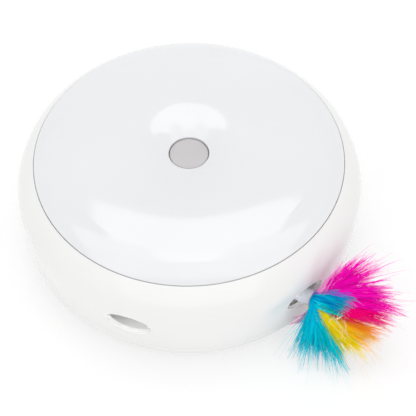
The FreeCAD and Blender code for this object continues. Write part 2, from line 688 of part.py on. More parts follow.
def base_tray():
    outer, inner = foot_ring_radii()
    plate = disc(outer, UNDERSIDE_Z, FLOOR_Z)
    rebate = ring(outer + 1, inner - FOOT_GAP, UNDERSIDE_Z - 1, UNDERSIDE_Z + FOOT_IN_TRAY)
    y0, y1 = BAY_Y - BAY_HALF_W, BAY_Y + BAY_HALF_W
    plate = plate.cut(rebate).cut(box(-BAY_HALF_LEN, BAY_HALF_LEN, y0, y1, 0, FLOOR_Z + 1))
    boss = ring(COLUMN_BOSS_R, COLUMN_R + SOCKET_GAP, FLOOR_Z - ROOT_IN, DRIVE_Z - THRUST_GAP)
    boss = boss.cut(wire_slot())
    pawl_x, pawl_y = polar(PAWL_PIVOT_R - 0.4, PAWL_AZ, 0)[:2]
    pawl_post = disc(PAWL_POST_R, FLOOR_Z - ROOT_IN, TABLE_Z - 2 * THRUST_GAP, pawl_x, pawl_y)
    tray = joined([plate, battery_bay(), boss, pawl_post] + rest_posts())
    pin_hole = disc(PAWL_PIN_R + SCREW_GAP, -PAWL_PIN_DEPTH, 1)
    tray = tray.cut(placed(pin_hole, polar(PAWL_PIVOT_R, PAWL_AZ, TABLE_Z - 2 * THRUST_GAP)))
    for az in CASE_SCREW_AZ:
        x, y = polar(CASE_SCREW_R, az, 0)[:2]
        tray = tray.cut(disc(SCREW_R + SCREW_GAP, 0, FLOOR_Z + 1, x, y))
        tray = tray.cut(disc(SCREW_HEAD_R + HEAD_GAP, 0, UNDERSIDE_Z + SCREW_HEAD_H - HEAD_PROUD, x, y))
    pip = DOOR_PIP_R + DOOR_PIP_GAP
    reach = BAY_HALF_LEN + DOOR_PIP_LEN
    pips = Part.makeCylinder(pip, 2 * reach, V(-reach, DOOR_PIVOT_Y, DOOR_PIVOT_Z), V(1, 0, 0))
    return tray.cut(pips)


def case_screws():
    length = CASE_POST_TOP - UNDERSIDE_Z - CASE_SCREW_SHORT
    heads_z = UNDERSIDE_Z - HEAD_PROUD
    return [placed(screw(length), polar(CASE_SCREW_R, az, heads_z), V(0, 0, -1)) for az in CASE_SCREW_AZ]


# ---- batteries -----------------------------------------------------------------------------
def cell_places():
    """Middle of each cell, and the way its positive end points along X."""
    first = BAY_Y - (CELL_COUNT - 1) / 2 * CELL_PITCH
    return [(V(0, first + k * CELL_PITCH, CELL_Z), 1 if k % 2 == 0 else -1) for k in range(CELL_COUNT)]


def cell_start():
    """Distance of a cell's nub from the bay's middle: it all but touches the contact plate."""
    return CONTACT_X - CONTACT_T - CONTACT_GAP


def tab_places():
    """Side and Y of the two tabs that take the leads: the pack's negative and positive ends."""
    ends = cell_places()
    return [(-ends[0][1], ends[0][0].y), (ends[-1][1], ends[-1][0].y)]


def battery_cells():
    cells = []
    for middle, way in cell_places():
        nub_x = way * cell_start()
        can_x = nub_x - way * CELL_NUB_H
        can = Part.makeCylinder(CELL_R, CELL_LEN, V(can_x, middle.y, middle.z), V(-way, 0, 0))
        rims = [e for e in can.Edges if e.Closed and e.BoundBox.XLength < 1e-6]
        can = can.makeFillet(CELL_EDGE_ROUND, rims)
        nub = Part.makeCylinder(CELL_NUB_R, CELL_NUB_H + 1, V(nub_x, middle.y, middle.z), V(-way, 0, 0))
        cells.append(joined([can, nub]))
    return cells


def contact_plate(side, y0, y1):
    x0, x1 = sorted((side * CONTACT_X, side * (CONTACT_X - CONTACT_T)))
    z0, z1 = CELL_Z - CONTACT_LOW, CELL_Z + CONTACT_HIGH
    return box(x0, x1, y0 - CONTACT_W / 2, y1 + CONTACT_W / 2, z0, z1)


def battery_contacts():
    """A plate with a solder tab at each end of the pack, and plates that join neighbouring cells."""
    plates = []
    for side, y in tab_places():
        x0, x1 = sorted((side * CONTACT_X, side * (BAY_HALF_LEN + TAB_LEN)))
        tab = box(x0, x1, y - TAB_W / 2, y + TAB_W / 2, CELL_Z + TAB_Z, CELL_Z + TAB_Z + CONTACT_T)
        plates.append(joined([contact_plate(side, y, y), tab]))
    places = cell_places()
    for (here, way), (beside, _) in zip(places, places[1:]):
        plates.append(contact_plate(way, here.y, beside.y))
    return plates


def battery_springs():
    springs = []
    plate_x = CONTACT_X - CONTACT_T
    gap = plate_x + cell_start() - CELL_NUB_H - CELL_LEN
    for middle, way in cell_places():
        height = gap - 4 * SPRING_WIRE_R
        one = coil(CELL_SPRING_R, SPRING_WIRE_R, height, 3, tip_r=CELL_SPRING_TIP_R)
        start = V(-way * (plate_x - 2 * SPRING_WIRE_R), middle.y, middle.z)
        springs.append(placed(one, start, V(way, 0, 0)))
    return springs


def battery_door():
    y_end = BAY_Y + BAY_HALF_W - DOOR_GAP
    half = BAY_HALF_LEN - DOOR_GAP
    plate = box(-half, half, DOOR_PIVOT_Y, y_end, UNDERSIDE_Z, UNDERSIDE_Z + DOOR_T)
    edge = Part.makeCylinder(DOOR_T / 2, 2 * half, V(-half, DOOR_PIVOT_Y, DOOR_PIVOT_Z), V(1, 0, 0))
    reach = half + DOOR_PIP_LEN
    pips = Part.makeCylinder(DOOR_PIP_R, 2 * reach, V(-reach, DOOR_PIVOT_Y, DOOR_PIVOT_Z), V(1, 0, 0))
    door = joined([plate, edge, pips])
    for k in range(GRIP_COUNT):
        y = y_end - GRIP_IN - GRIP_PITCH * k
        groove = box(-GRIP_HALF_LEN, GRIP_HALF_LEN, y - GRIP_HALF_W, y + GRIP_HALF_W, 0, UNDERSIDE_Z + 0.5)
        door = door.cut(groove)
    return door


# ---- drive ---------------------------------------------------------------------------------
def center_column():
    column = ring(COLUMN_R, COLUMN_BORE_R, FLOOR_Z + SOCKET_GAP, COLUMN_TOP)
    return column.cut(wire_slot())


def drive_gear():
    wheel = gear(DRIVE_MODULE, DRIVE_TEETH, DRIVE_Z, DRIVE_Z + DRIVE_T, -90)
    recess = ring(DRIVE_PITCH_R - 3, HUB_R + 1.2, DRIVE_Z + 1.5, DRIVE_Z + DRIVE_T + 1)
    hub = disc(HUB_R, DRIVE_Z, HUB_TOP)
    wheel = joined([wheel.cut(recess), hub])
    return wheel.cut(disc(COLUMN_R + RUNNING_GAP, 0, HUB_TOP + 1))


def clutch_washer():
    return ring(RACK_GEAR_R * 0.42, COLUMN_R + 0.3, HUB_TOP, RACK_GEAR_Z - THRUST_GAP)


def rack_gear():
    """The gear that drives the rack. One of its teeth points straight at the arm."""
    top = RACK_GEAR_Z + RACK_GEAR_T
    wheel = gear(RACK_MODULE, RACK_GEAR_TEETH, RACK_GEAR_Z, top, ARM_AZ - 180)
    for z0, z1 in ((RACK_GEAR_Z - 1, RACK_GEAR_Z + 2), (top - 2, top + 1)):
        wheel = wheel.cut(ring(RACK_GEAR_R - 4, RACK_GEAR_R * 0.45, z0, z1))
    for k in range(GEAR_HOLES):
        x, y = polar(RACK_GEAR_R * 0.65, 360 / GEAR_HOLES * k, 0)[:2]
        wheel = wheel.cut(disc(GEAR_HOLE_R, RACK_GEAR_Z, top, x, y))
    return wheel.cut(disc(COLUMN_R + RUNNING_GAP, 0, top + 1))


def clutch_spring():
    """A wave washer that presses the rack gear onto the felt washer."""
    z = RACK_GEAR_Z + RACK_GEAR_T + THRUST_GAP
    return ring(COLUMN_R + HUB_WALL, COLUMN_R + 0.5, z, z + SPRING_WASHER_H)


def retaining_clip():
    """A split ring that snaps onto the column over the clutch spring."""
    z = RACK_GEAR_Z + RACK_GEAR_T + 2 * THRUST_GAP + SPRING_WASHER_H
    outer = COLUMN_R + CLIP_OUT
    clip = ring(outer, COLUMN_R + SOCKET_GAP, z, z + CLIP_T)
    return clip.cut(box(0, outer + 1, -CLIP_HALF_SLOT, CLIP_HALF_SLOT, z - 1, z + CLIP_T + 1))


def motor_pinion():
    top = DRIVE_Z + DRIVE_T + 0.5
    pinion = gear(DRIVE_MODULE, PINION_TEETH, DRIVE_Z, top, 90 + 180 / PINION_TEETH)
    pinion = pinion.cut(disc(SHAFT_R + 0.02, 0, top + 1))
    pinion.translate(V(0, PINION_Y, 0))
    return pinion


def pinion_shaft():
    return disc(SHAFT_R, GEARBOX_TOP - 4, DRIVE_Z + DRIVE_T + 1.2, 0, PINION_Y)


def gearbox_span():
    """The gearbox's extent along Y."""
    return PINION_Y - GEARBOX_OUTER, PINION_Y + GEARBOX_INNER


def gearbox_lug():
    """The screwed lug at the gearbox's outer end."""
    foot, y = FLOOR_Z + GEARBOX_SEAT_GAP, gearbox_span()[0] + LUG_IN
    arm = box(GEARBOX_SIDE_X - 2, LUG_X, y - LUG_R, y + LUG_R, foot, foot + LUG_T)
    return joined([disc(LUG_R, foot, foot + LUG_T, LUG_X, y), arm])


def gearbox_case():
    y0, y1 = gearbox_span()
    foot = FLOOR_Z + GEARBOX_SEAT_GAP
    case = box(GEARBOX_X, GEARBOX_SIDE_X, y0, y1 - 1, foot, GEARBOX_TOP)
    uprights = [e for e in case.Edges if e.BoundBox.ZLength > 1 and e.BoundBox.XMin > 0]
    case = case.makeFillet(GEARBOX_ROUND, uprights)
    top = MOTOR_Z + TOWER_OVER_MOTOR
    tower = box(GEARBOX_X, GEARBOX_X + TOWER_T, y0, PINION_Y + TOWER_TO_GEAR, foot, top)
    case = joined([case, tower])
    screw_hole = disc(SCREW_R + SCREW_GAP, 0, top, LUG_X, y0 + LUG_IN)
    case = joined([case, gearbox_lug()]).cut(screw_hole)
    return case.cut(disc(SHAFT_R + 0.05, GEARBOX_TOP - 4.2, top, 0, PINION_Y))


def motor_can():
    """A small flat-sided motor that lies along X against the gearbox."""
    x1 = GEARBOX_X - SOCKET_GAP
    x0 = x1 - MOTOR_LEN + ENDCAP_LEN
    y = PINION_Y - MOTOR_IN
    round_can = Part.makeCylinder(MOTOR_W / 2, x1 - x0, V(x0, y, MOTOR_Z), V(1, 0, 0))
    flats = box(x0, x1, y - MOTOR_W, y + MOTOR_W, MOTOR_Z - MOTOR_H / 2, MOTOR_Z + MOTOR_H / 2)
    return round_can.common(flats)


def motor_endcap():
    x1 = GEARBOX_X - SOCKET_GAP - MOTOR_LEN + ENDCAP_LEN
    x0 = x1 - ENDCAP_LEN
    y = PINION_Y - MOTOR_IN
    half_h = MOTOR_H / 2 - ENDCAP_STEP
    cap = Part.makeCylinder(MOTOR_W / 2 - ENDCAP_STEP, x1 - x0, V(x0, y, MOTOR_Z), V(1, 0, 0))
    flats = box(x0, x1, y - MOTOR_W, y + MOTOR_W, MOTOR_Z - half_h, MOTOR_Z + half_h)
    bearing = Part.makeCylinder(BEARING_R, BEARING_LEN, V(x0 - BEARING_LEN, y, MOTOR_Z), V(1, 0, 0))
    return joined([cap.common(flats), bearing])


def strap_screw_places():
    """The strap's two screws, at the height of its feet's undersides."""
    x = GEARBOX_X - STRAP_FROM_BOX + STRAP_W / 2
    out = MOTOR_W / 2 + STRAP_SCREW_OUT
    return [V(x, PINION_Y - MOTOR_IN + side * out, FLOOR_Z + SOCKET_GAP) for side in (-1, 1)]


def motor_bracket():
    """A strap over the motor with a screwed foot on each side."""
    x0 = GEARBOX_X - STRAP_FROM_BOX
    x1 = x0 + STRAP_W
    y, foot = PINION_Y - MOTOR_IN, FLOOR_Z + SOCKET_GAP
    inner = MOTOR_W / 2 + STRAP_GAP
    outer = inner + STRAP_T
    reach = MOTOR_W / 2 + STRAP_FOOT
    top = MOTOR_Z + MOTOR_H / 2 + STRAP_GAP
    strap = box(x0, x1, y - outer, y + outer, foot, top + STRAP_T)
    feet = box(x0, x1, y - reach, y + reach, foot, foot + STRAP_T)
    strap = joined([strap, feet])
    strap = strap.cut(box(x0 - 1, x1 + 1, y - inner, y + inner, foot - 1, top))
    for p in strap_screw_places():
        strap = strap.cut(disc(SCREW_R + SCREW_GAP, 0, foot + STRAP_T + 1, p.x, p.y))
    return strap


def drive_screws():
    """Screws of the gearbox's lug and of the motor's strap."""
    lug_top = FLOOR_Z + GEARBOX_SEAT_GAP + LUG_T
    lug_place = V(LUG_X, gearbox_span()[0] + LUG_IN, lug_top + SCREW_HEAD_H)
    screws = [placed(screw(lug_top - FLOOR_Z - 0.4), lug_place)]
    for p in strap_screw_places():
        screws.append(placed(screw(STRAP_T - 0.2), p + UP * (STRAP_T + SCREW_HEAD_H)))
    return screws


# ---- leads ---------------------------------------------------------------------------------
def up_the_column(side, z):
    """The last stretch of a lead: in through the column's slot and up to the board."""
    y = side * LEAD_PITCH / 2
    x = -0.8 if z > LEAD_Z else 0.8
    return [V(x, y, z), V(x, y, PCB_Z - 0.1)]


def battery_leads():
    """Two leads from the bay's solder tabs, along the bay's walls and under the drive gear."""
    (_, y_minus), (_, y_plus) = tab_places()
    x_tab = BAY_HALF_LEN + TAB_LEN - 1
    z_tab = CELL_Z + TAB_Z - LEAD_R
    front = BAY_Y - BAY_HALF_W - BAY_WALL
    low = LEAD_Z
    minus = [V(-x_tab, y_minus, z_tab), V(-x_tab - 1, y_minus - 7, low + 2), V(-x_tab + 5, front - 5, low),
             V(-20, 8, low), V(-16, LEAD_PITCH / 2, low)]
    high = LEAD_Z + LEAD_PITCH
    plus = [V(x_tab, y_plus, z_tab), V(x_tab + 1, y_plus - 10, high + 1), V(x_tab + 1.5, front + 2, high),
            V(x_tab - 4, front - 5, high), V(0, front - 7, high), V(-14, front - 9.5, high),
            V(-20, 6, high), V(-16, LEAD_PITCH / 2, high)]
    return [lead(minus + up_the_column(1, low), LEAD_R), lead(plus + up_the_column(1, high), LEAD_R)]


def motor_leads():
    """Two leads from the motor's end cap to the column."""
    x_cap = GEARBOX_X - SOCKET_GAP - MOTOR_LEN
    y = PINION_Y - MOTOR_IN
    leads = []
    for side, z in ((-1, LEAD_Z), (1, LEAD_Z + LEAD_PITCH)):
        out = side * LEAD_PITCH / 2
        z_cap = MOTOR_Z + 2 * side
        route = [V(x_cap - LEAD_R / 4, y + 6, z_cap), V(x_cap - 5, y + 8, z_cap - 1),
                 V(x_cap - 5 + out, -12, z), V(x_cap + 4 + out, -4 - out, z), V(-17, -LEAD_PITCH / 2, z)]
        leads.append(lead(route + up_the_column(-1, z), LEAD_R))
    return leads


# ---- turntable -----------------------------------------------------------------------------
def notch_azimuth():
    """Azimuth of the notch that the pawl's tooth is in."""
    return PAWL_AZ + math.degrees(math.atan2(PAWL_ARM, TABLE_R - NOTCH_DEPTH / 2))


def table_notch(k):
    """What a notch takes out of the turntable's edge."""
    edge = -TABLE_R
    notch = box(-NOTCH_W / 2, NOTCH_W / 2, edge - 1, edge + NOTCH_DEPTH, TABLE_Z - 1, TABLE_TOP + 3)
    return turned(notch, notch_azimuth() + 360 / WINDOWS * k)


def turntable_plate():
    plate = disc(TABLE_R, TABLE_Z, TABLE_TOP)
    rim_r = TABLE_R - NOTCH_DEPTH - TABLE_RIM_IN
    rim = ring(rim_r, rim_r - TABLE_RIM_T, TABLE_TOP - ROOT_IN, TABLE_TOP + TABLE_RIM_H)
    bore_r = HUB_R + BUSH_WALL
    inner = ring(bore_r + INNER_RIM_T, bore_r, TABLE_TOP - ROOT_IN, TABLE_TOP + INNER_RIM_H)
    plate = joined([plate, rim, inner])
    for k in range(WINDOWS):
        plate = plate.cut(table_notch(k))
    slot = ring(TABLE_R * SLOT_OUTER, TABLE_R * SLOT_INNER, TABLE_Z - 1, TABLE_TOP + 3)
    slot = slot.common(box(-SLOT_HALF_W, SLOT_HALF_W, -TABLE_R, 0, TABLE_Z - 1, TABLE_TOP + 3))
    for k in (2, 3):
        plate = plate.cut(turned(slot, ARM_AZ + 60 * k))
    return plate.cut(disc(bore_r, TABLE_Z - 1, TABLE_TOP + 3))


def turntable_bush():
    return ring(HUB_R + BUSH_WALL - 0.05, HUB_R + RUNNING_GAP, TABLE_Z - 1.0, TABLE_TOP + 0.6)


def guide_channel(y0, y1, z0, z1):
    return box(GUIDE_TAIL, GUIDE_NOSE, y0, y1, z0, z1)


def guide_ears():
    """Stations and offset of the screws that hold the guide's cover."""
    offset = RACK_BACK + GUIDE_GAP + GUIDE_WALL + EAR_OUT
    return [(s, offset) for s in (GUIDE_TAIL + EAR_IN, GUIDE_NOSE - EAR_IN)]


def arm_guide():
    """An open channel for the rack, with a window where the rack gear reaches in."""
    inner, outer = RACK_TIP - GUIDE_GAP, RACK_BACK + GUIDE_GAP
    top = ARM_TOP + GUIDE_GAP
    block = guide_channel(inner - GUIDE_WALL, outer + GUIDE_WALL, TABLE_TOP, top)
    block = block.cut(guide_channel(inner, outer, ARM_Z - GUIDE_GAP, top + 1))
    ears = [disc(EAR_R, TABLE_TOP, top, s, y) for s, y in guide_ears()]
    webs = [box(s - EAR_R, s + EAR_R, outer + 0.5, y, TABLE_TOP, top) for s, y in guide_ears()]
    block = joined([block] + ears + webs)
    for s, y in guide_ears():
        block = block.cut(disc(SCREW_R + SCREW_GAP, TABLE_TOP + 1.5, top + 1, s, y))
    return to_arm(block.cut(disc(GEAR_WINDOW_R, 0, LID_CREST_Z)))


def guide_cover():
    inner, outer = RACK_TIP - GUIDE_GAP, RACK_BACK + GUIDE_GAP
    z0 = ARM_TOP + GUIDE_GAP
    z1 = z0 + GUIDE_COVER_T
    plate = guide_channel(inner - GUIDE_WALL, outer + GUIDE_WALL, z0, z1)
    ears = [disc(EAR_R, z0, z1, s, y) for s, y in guide_ears()]
    webs = [box(s - EAR_R, s + EAR_R, outer + 0.5, y, z0, z1) for s, y in guide_ears()]
    plate = joined([plate] + ears + webs)
    for s, y in guide_ears():
        plate = plate.cut(disc(SCREW_R + SCREW_GAP, z0 - 1, z1 + 1, s, y))
    return to_arm(plate.cut(disc(GEAR_WINDOW_R, 0, LID_CREST_Z)))


def guide_screws():
    z = ARM_TOP + GUIDE_GAP + GUIDE_COVER_T + SCREW_HEAD_H
    return [to_arm(placed(screw(GUIDE_SCREW_LEN), V(s, y, z))) for s, y in guide_ears()]


def pawl_local(shape):
    """From the pawl's frame (+X along the rim, -Y outwards from its pivot) into the toy's."""
    moved = shape.copy()
    moved.translate(V(0, -PAWL_PIVOT_R, 0))
    return turned(moved, PAWL_AZ)


def index_pawl():
    z0 = TABLE_Z - PAWL_DROP
    z1 = z0 + PAWL_T
    hub = disc(PAWL_HUB_R, z0, z1)
    arm = box(0, PAWL_ARM + PAWL_TOOTH_W / 2, -1.5, 1.2, z0, z1)
    rim_y = PAWL_PIVOT_R - math.sqrt(TABLE_R ** 2 - PAWL_ARM ** 2)
    left, right = PAWL_ARM - PAWL_TOOTH_W / 2, PAWL_ARM + PAWL_TOOTH_W / 2
    tip_y = rim_y + 2.0
    outline = [V(left, 0, z0), V(left + 0.2, tip_y, z0), V(right - 0.6, tip_y, z0), V(right, 0, z0)]
    tooth = Part.Face(Part.makePolygon(outline + outline[:1])).extrude(V(0, 0, PAWL_T))
    pawl = joined([hub, arm, tooth]).cut(disc(PAWL_PIN_R + RUNNING_GAP, z0 - 1, z1 + 1))
    return pawl_local(pawl)


def pawl_pin():
    top = TABLE_Z + PAWL_T + PIN_OVER_PAWL
    pin = disc(PAWL_PIN_R, TABLE_Z - 2 * THRUST_GAP - PAWL_PIN_DEPTH, top)
    head = disc(PIN_HEAD_R, top, top + PIN_HEAD_T)
    return pawl_local(joined([pin, head]))


def pawl_spring():
    spring = coil(PAWL_SPRING_R, PAWL_SPRING_WIRE_R, PAWL_SPRING_H, 2.5)
    spring.translate(V(0, 0, TABLE_Z - PAWL_DROP + PAWL_T + 0.5))
    return pawl_local(spring)


# ---- feather arm ---------------------------------------------------------------------------
def arm_turning(start, *steps):
    """A turned piece on the arm's centre line. Its outline is in (station, radius)."""
    shape = lathe((start[1], start[0]), *[
        tuple((r, s) for s, r in step) if isinstance(step[0], tuple) else (step[1], step[0])
        for step in steps
    ])
    lying = shape.copy()
    lying.rotate(V(0, 0, 0), V(0, 1, 0), 90)
    lying.translate(V(0, ARM_OFFSET, WINDOW_Z))
    return to_arm(lying)


def rack_arm():
    bar = rack(ARM_Z, ARM_TOP)
    root = V(RACK_NOSE - 1, ARM_OFFSET, WINDOW_Z)
    spigot = Part.makeCylinder(SLEEVE_BORE_R - PLUG_GAP, SPIGOT_LEN + 1, root, V(1, 0, 0))
    y0, y1 = RACK_ROOT + RACK_POCKET_WALL, RACK_BACK - RACK_POCKET_WALL
    x0, x1 = RACK_TAIL + RACK_POCKET_END, RACK_NOSE - RACK_POCKET_END
    hollow = box(x0, x1, y0, y1, ARM_TOP - RACK_POCKET_DEPTH, ARM_TOP + 1)
    return to_arm(joined([bar, spigot]).cut(hollow))


def feather_sleeve():
    start = RACK_NOSE + PLUG_GAP
    return arm_turning(
        (start, SLEEVE_BORE_R), (start, SLEEVE_R), (SLEEVE_NOSE - SLEEVE_BEVEL, SLEEVE_R),
        (SLEEVE_NOSE, SLEEVE_R - SLEEVE_BEVEL), (SLEEVE_NOSE, SLEEVE_BORE_R),
    )


def feather_collar():
    """The plug that holds the quills, pushed into the sleeve."""
    tail, step = SLEEVE_NOSE - COLLAR_PLUG_LEN, SLEEVE_NOSE + PLUG_GAP
    nose = step + COLLAR_LEN
    plug_r = SLEEVE_BORE_R - PLUG_GAP
    return arm_turning(
        (tail, 0), (tail, plug_r), (step, plug_r), (step, COLLAR_R),
        (nose - COLLAR_BEVEL, COLLAR_R), (nose, COLLAR_R - COLLAR_BEVEL), (nose, 0),
    )


def feather_tuft():
    """The plain outer form of the loose barbs."""
    root = SLEEVE_NOSE + PLUG_GAP + COLLAR_LEN + TUFT_GAP
    widest = root + 0.5 * TUFT_LEN
    tip = root + TUFT_LEN
    return arm_turning(
        (root, 0), (root, COLLAR_R - 1),
        ((root + 0.22 * TUFT_LEN, 0.66 * TUFT_R), (widest, TUFT_R)),
        ((root + 0.86 * TUFT_LEN, 0.62 * TUFT_R), (tip, TUFT_TIP_R)), (tip, 0),
    )


# ---- lid and button ------------------------------------------------------------------------
def lid_height(r, inset=0.0):
    """Height of the lid's surface at a radius, moved down by inset."""
    middle, z, arc = next(stretch[1:] for stretch in LID_ARCS if r <= stretch[0])
    return z + math.sqrt((arc - inset) ** 2 - (r - middle) ** 2)


def lid_arc(r_from, r_to, inset=0.0):
    middle = (r_from + r_to) / 2
    return ((middle, lid_height(middle, inset)), (r_to, lid_height(r_to, inset)))


def lid_ribs():
    """Six ribs under the lid, between its crest and its skirt."""
    skirt_in = LID_LEDGE_R - LID_SKIRT_GAP - LID_SKIRT_W
    half = LID_RIB_T / 2
    rib = box(-half, half, -skirt_in - 0.5, -LID_CREST_R - 3, SEAM_Z - 0.2, LID_CREST_Z)
    start, end = LID_CREST_R + 2, skirt_in + 1
    under = lathe(
        (start, 0), (start, lid_height(start, LID_RIB_IN)), lid_arc(start, LID_RIM_R, LID_RIB_IN),
        lid_arc(LID_RIM_R, end, LID_RIB_IN), (end, 0),
    )
    return [turned(rib, 60 * k).common(under) for k in range(6)]


def lid():
    hole, rim = BUTTON_R + BUTTON_GAP, SEAM_R - LID_GAP
    mouth, mouth_z = hole + LID_HOLE_ROUND, lid_height(hole + LID_HOLE_ROUND)
    seat = LEDGE_Z + LID_SEAT_GAP
    corner = lid_height(rim) - LID_EDGE_ROUND
    skirt_out = LID_LEDGE_R - LID_SKIRT_GAP
    skirt_in = skirt_out - LID_SKIRT_W
    collar, collar_z = hole + LID_HOLE_WALL, FLANGE_TOP + 0.4
    turning = lathe(
        (hole, collar_z),
        (hole, mouth_z - LID_HOLE_ROUND),
        ((hole + 0.2, mouth_z - 0.2), (mouth, mouth_z)),
        lid_arc(mouth, LID_CREST_R),
        lid_arc(LID_CREST_R, LID_RIM_R),
        lid_arc(LID_RIM_R, rim - LID_EDGE_ROUND),
        ((rim - 0.2 * LID_EDGE_ROUND, corner + 0.6 * LID_EDGE_ROUND), (rim, corner)),
        (rim, seat),
        (skirt_out, seat),
        (skirt_out, SEAM_Z - LID_SKIRT_DEPTH),
        (skirt_in, SEAM_Z - LID_SKIRT_DEPTH),
        (skirt_in, lid_height(skirt_in, LID_T)),
        lid_arc(skirt_in, LID_RIM_R, LID_T),
        lid_arc(LID_RIM_R, LID_CREST_R, LID_T),
        lid_arc(LID_CREST_R, collar, LID_T),
        (collar, collar_z),
    )
    return joined([turning] + lid_ribs())


def power_button():
    flange_z = FLANGE_TOP - FLANGE_T
    inner = BUTTON_R - BUTTON_WALL
    roof = BUTTON_TOP - 2 * BUTTON_WALL
    stem_end = PCB_TOP + PLUNGER_TOP + PLUNGER_GAP
    return lathe(
        (0, BUTTON_TOP + BUTTON_CROWN),
        ((0.5 * BUTTON_R, BUTTON_TOP + 0.2), (BUTTON_R - 0.7, BUTTON_TOP - 0.1)),
        ((BUTTON_R - 0.2, BUTTON_TOP - 0.3), (BUTTON_R, BUTTON_TOP - 0.8)),
        (BUTTON_R, FLANGE_TOP), (BUTTON_FLANGE_R, FLANGE_TOP), (BUTTON_FLANGE_R, flange_z),
        (inner, flange_z), (inner, roof), (BUTTON_STEM_R, roof), (BUTTON_STEM_R, stem_end), (0, stem_end),
    )


def switch_plunger():
    return disc(PLUNGER_R, PCB_TOP + 0.9 + BUTTON_TRAVEL, PCB_TOP + PLUNGER_TOP)


def tact_switch():
    half, top = SWITCH_HALF_W, PCB_TOP + SWITCH_H
    body = box(-half, half, -half, half, PCB_TOP + BOARD_GAP, top)
    return body.cut(disc(SWITCH_BORE_R, PCB_TOP + 0.7, top + 1))


def button_guide():
    """The ring that the button's flange slides in, with a flanged foot on the board."""
    inner, z = BUTTON_FLANGE_R + GUIDE_GAP, PCB_TOP + BOARD_GAP
    guide = ring(inner + GUIDE_RING_T, inner, z, FLANGE_TOP - GUIDE_TO_FLANGE)
    foot = ring(GUIDE_FOOT_R, inner, z, PCB_TOP + GUIDE_FOOT_T)
    return joined([guide, foot])


def button_spring():
    z0, z1 = PCB_TOP + 0.5, FLANGE_TOP - FLANGE_T - 0.5
    spring = coil(BUTTON_R + BUTTON_SPRING_OUT, BUTTON_SPRING_WIRE_R, z1 - z0, 3.5)
    spring.translate(V(0, 0, z0))
    return spring


def board_screw_places():
    return [polar(PCB_R - BOARD_SCREW_IN, az, 0) for az in BOARD_SCREW_AZ]


def pcb_carrier():
    """A round carrier on top of the column, with three standoffs for the board."""
    plate = disc(PCB_R, CARRIER_Z, CARRIER_Z + CARRIER_T)
    socket = ring(COLUMN_R + 3, COLUMN_R + SOCKET_GAP, COLUMN_TOP - 3.6, CARRIER_Z + ROOT_IN)
    rim = ring(PCB_R, PCB_R - 1.4, CARRIER_Z, PCB_Z - 0.1)
    posts = [disc(STANDOFF_R, CARRIER_Z, PCB_Z - BOARD_GAP, p.x, p.y) for p in board_screw_places()]
    carrier = joined([plate, socket, rim] + posts)
    carrier = carrier.cut(disc(COLUMN_BORE_R, CARRIER_Z - 1, CARRIER_Z + CARRIER_T + 1))
    for p in board_screw_places():
        carrier = carrier.cut(disc(SCREW_R + SCREW_GAP, CARRIER_Z - 1, PCB_Z + 1, p.x, p.y))
    return carrier


def control_pcb():
    board = disc(PCB_R, PCB_Z, PCB_TOP)
    for p in board_screw_places():
        board = board.cut(disc(SCREW_R + 0.3, PCB_Z - 1, PCB_TOP + 1, p.x, p.y))
    return board


def pcb_parts():
    """The controller chip, a capacitor and the motor driver."""
    z = PCB_TOP + BOARD_GAP
    near = GUIDE_FOOT_R + PARTS_OUT
    (chip_l, chip_w, chip_h), (driver_l, driver_w, driver_h) = CHIP_SIZE, DRIVER_SIZE
    chip = box(-chip_l / 2, chip_l / 2, -near - chip_w, -near, z, z + chip_h)
    driver = box(-driver_l / 2, driver_l / 2, near, near + driver_w, z, z + driver_h)
    middle = polar(near + 4, CAPACITOR_AZ, z)
    capacitor = disc(CAPACITOR_R, z, z + CAPACITOR_H, middle.x, middle.y)
    return [chip, driver, capacitor]


def status_led():
    middle = polar(GUIDE_FOOT_R + 4.6, LED_AZ, PCB_TOP + BOARD_GAP)
    lens = disc(LED_R, middle.z, middle.z + LED_H, middle.x, middle.y)
    dome = Part.makeSphere(LED_R, middle + UP * LED_H)
    return joined([lens, dome])


def board_screws():
    head_z = PCB_TOP + BOARD_GAP + SCREW_HEAD_H
    return [placed(screw(BOARD_SCREW_LEN), V(p.x, p.y, head_z)) for p in board_screw_places()]


# ---- all pieces ----------------------------------------------------------------------------
PIECES = {
    "body_shell": body_shell, "base_tray": base_tray, "anti_slip_ring": anti_slip_ring,
    "case_screws": case_screws, "center_column": center_column, "retaining_clip": retaining_clip,
    "battery_cells": battery_cells, "battery_contacts": battery_contacts,
    "battery_springs": battery_springs, "battery_door": battery_door,
    "gearbox_case": gearbox_case, "motor_can": motor_can, "motor_endcap": motor_endcap,
    "motor_bracket": motor_bracket, "drive_screws": drive_screws,
    "motor_pinion": motor_pinion, "pinion_shaft": pinion_shaft,
    "drive_gear": drive_gear, "clutch_washer": clutch_washer, "rack_gear": rack_gear,
    "clutch_spring": clutch_spring, "turntable_plate": turntable_plate, "turntable_bush": turntable_bush,
    "arm_guide": arm_guide, "guide_cover": guide_cover, "guide_screws": guide_screws,
    "index_pawl": index_pawl, "pawl_pin": pawl_pin, "pawl_spring": pawl_spring,
    "rack_arm": rack_arm, "feather_sleeve": feather_sleeve, "feather_collar": feather_collar,
    "feather_tuft": feather_tuft, "lid": lid, "power_button": power_button,
    "switch_plunger": switch_plunger, "button_spring": button_spring, "button_guide": button_guide,
    "tact_switch": tact_switch, "pcb_carrier": pcb_carrier, "control_pcb": control_pcb,
    "pcb_parts": pcb_parts, "status_led": status_led, "board_screws": board_screws,
    "battery_leads": battery_leads, "motor_leads": motor_leads,
}


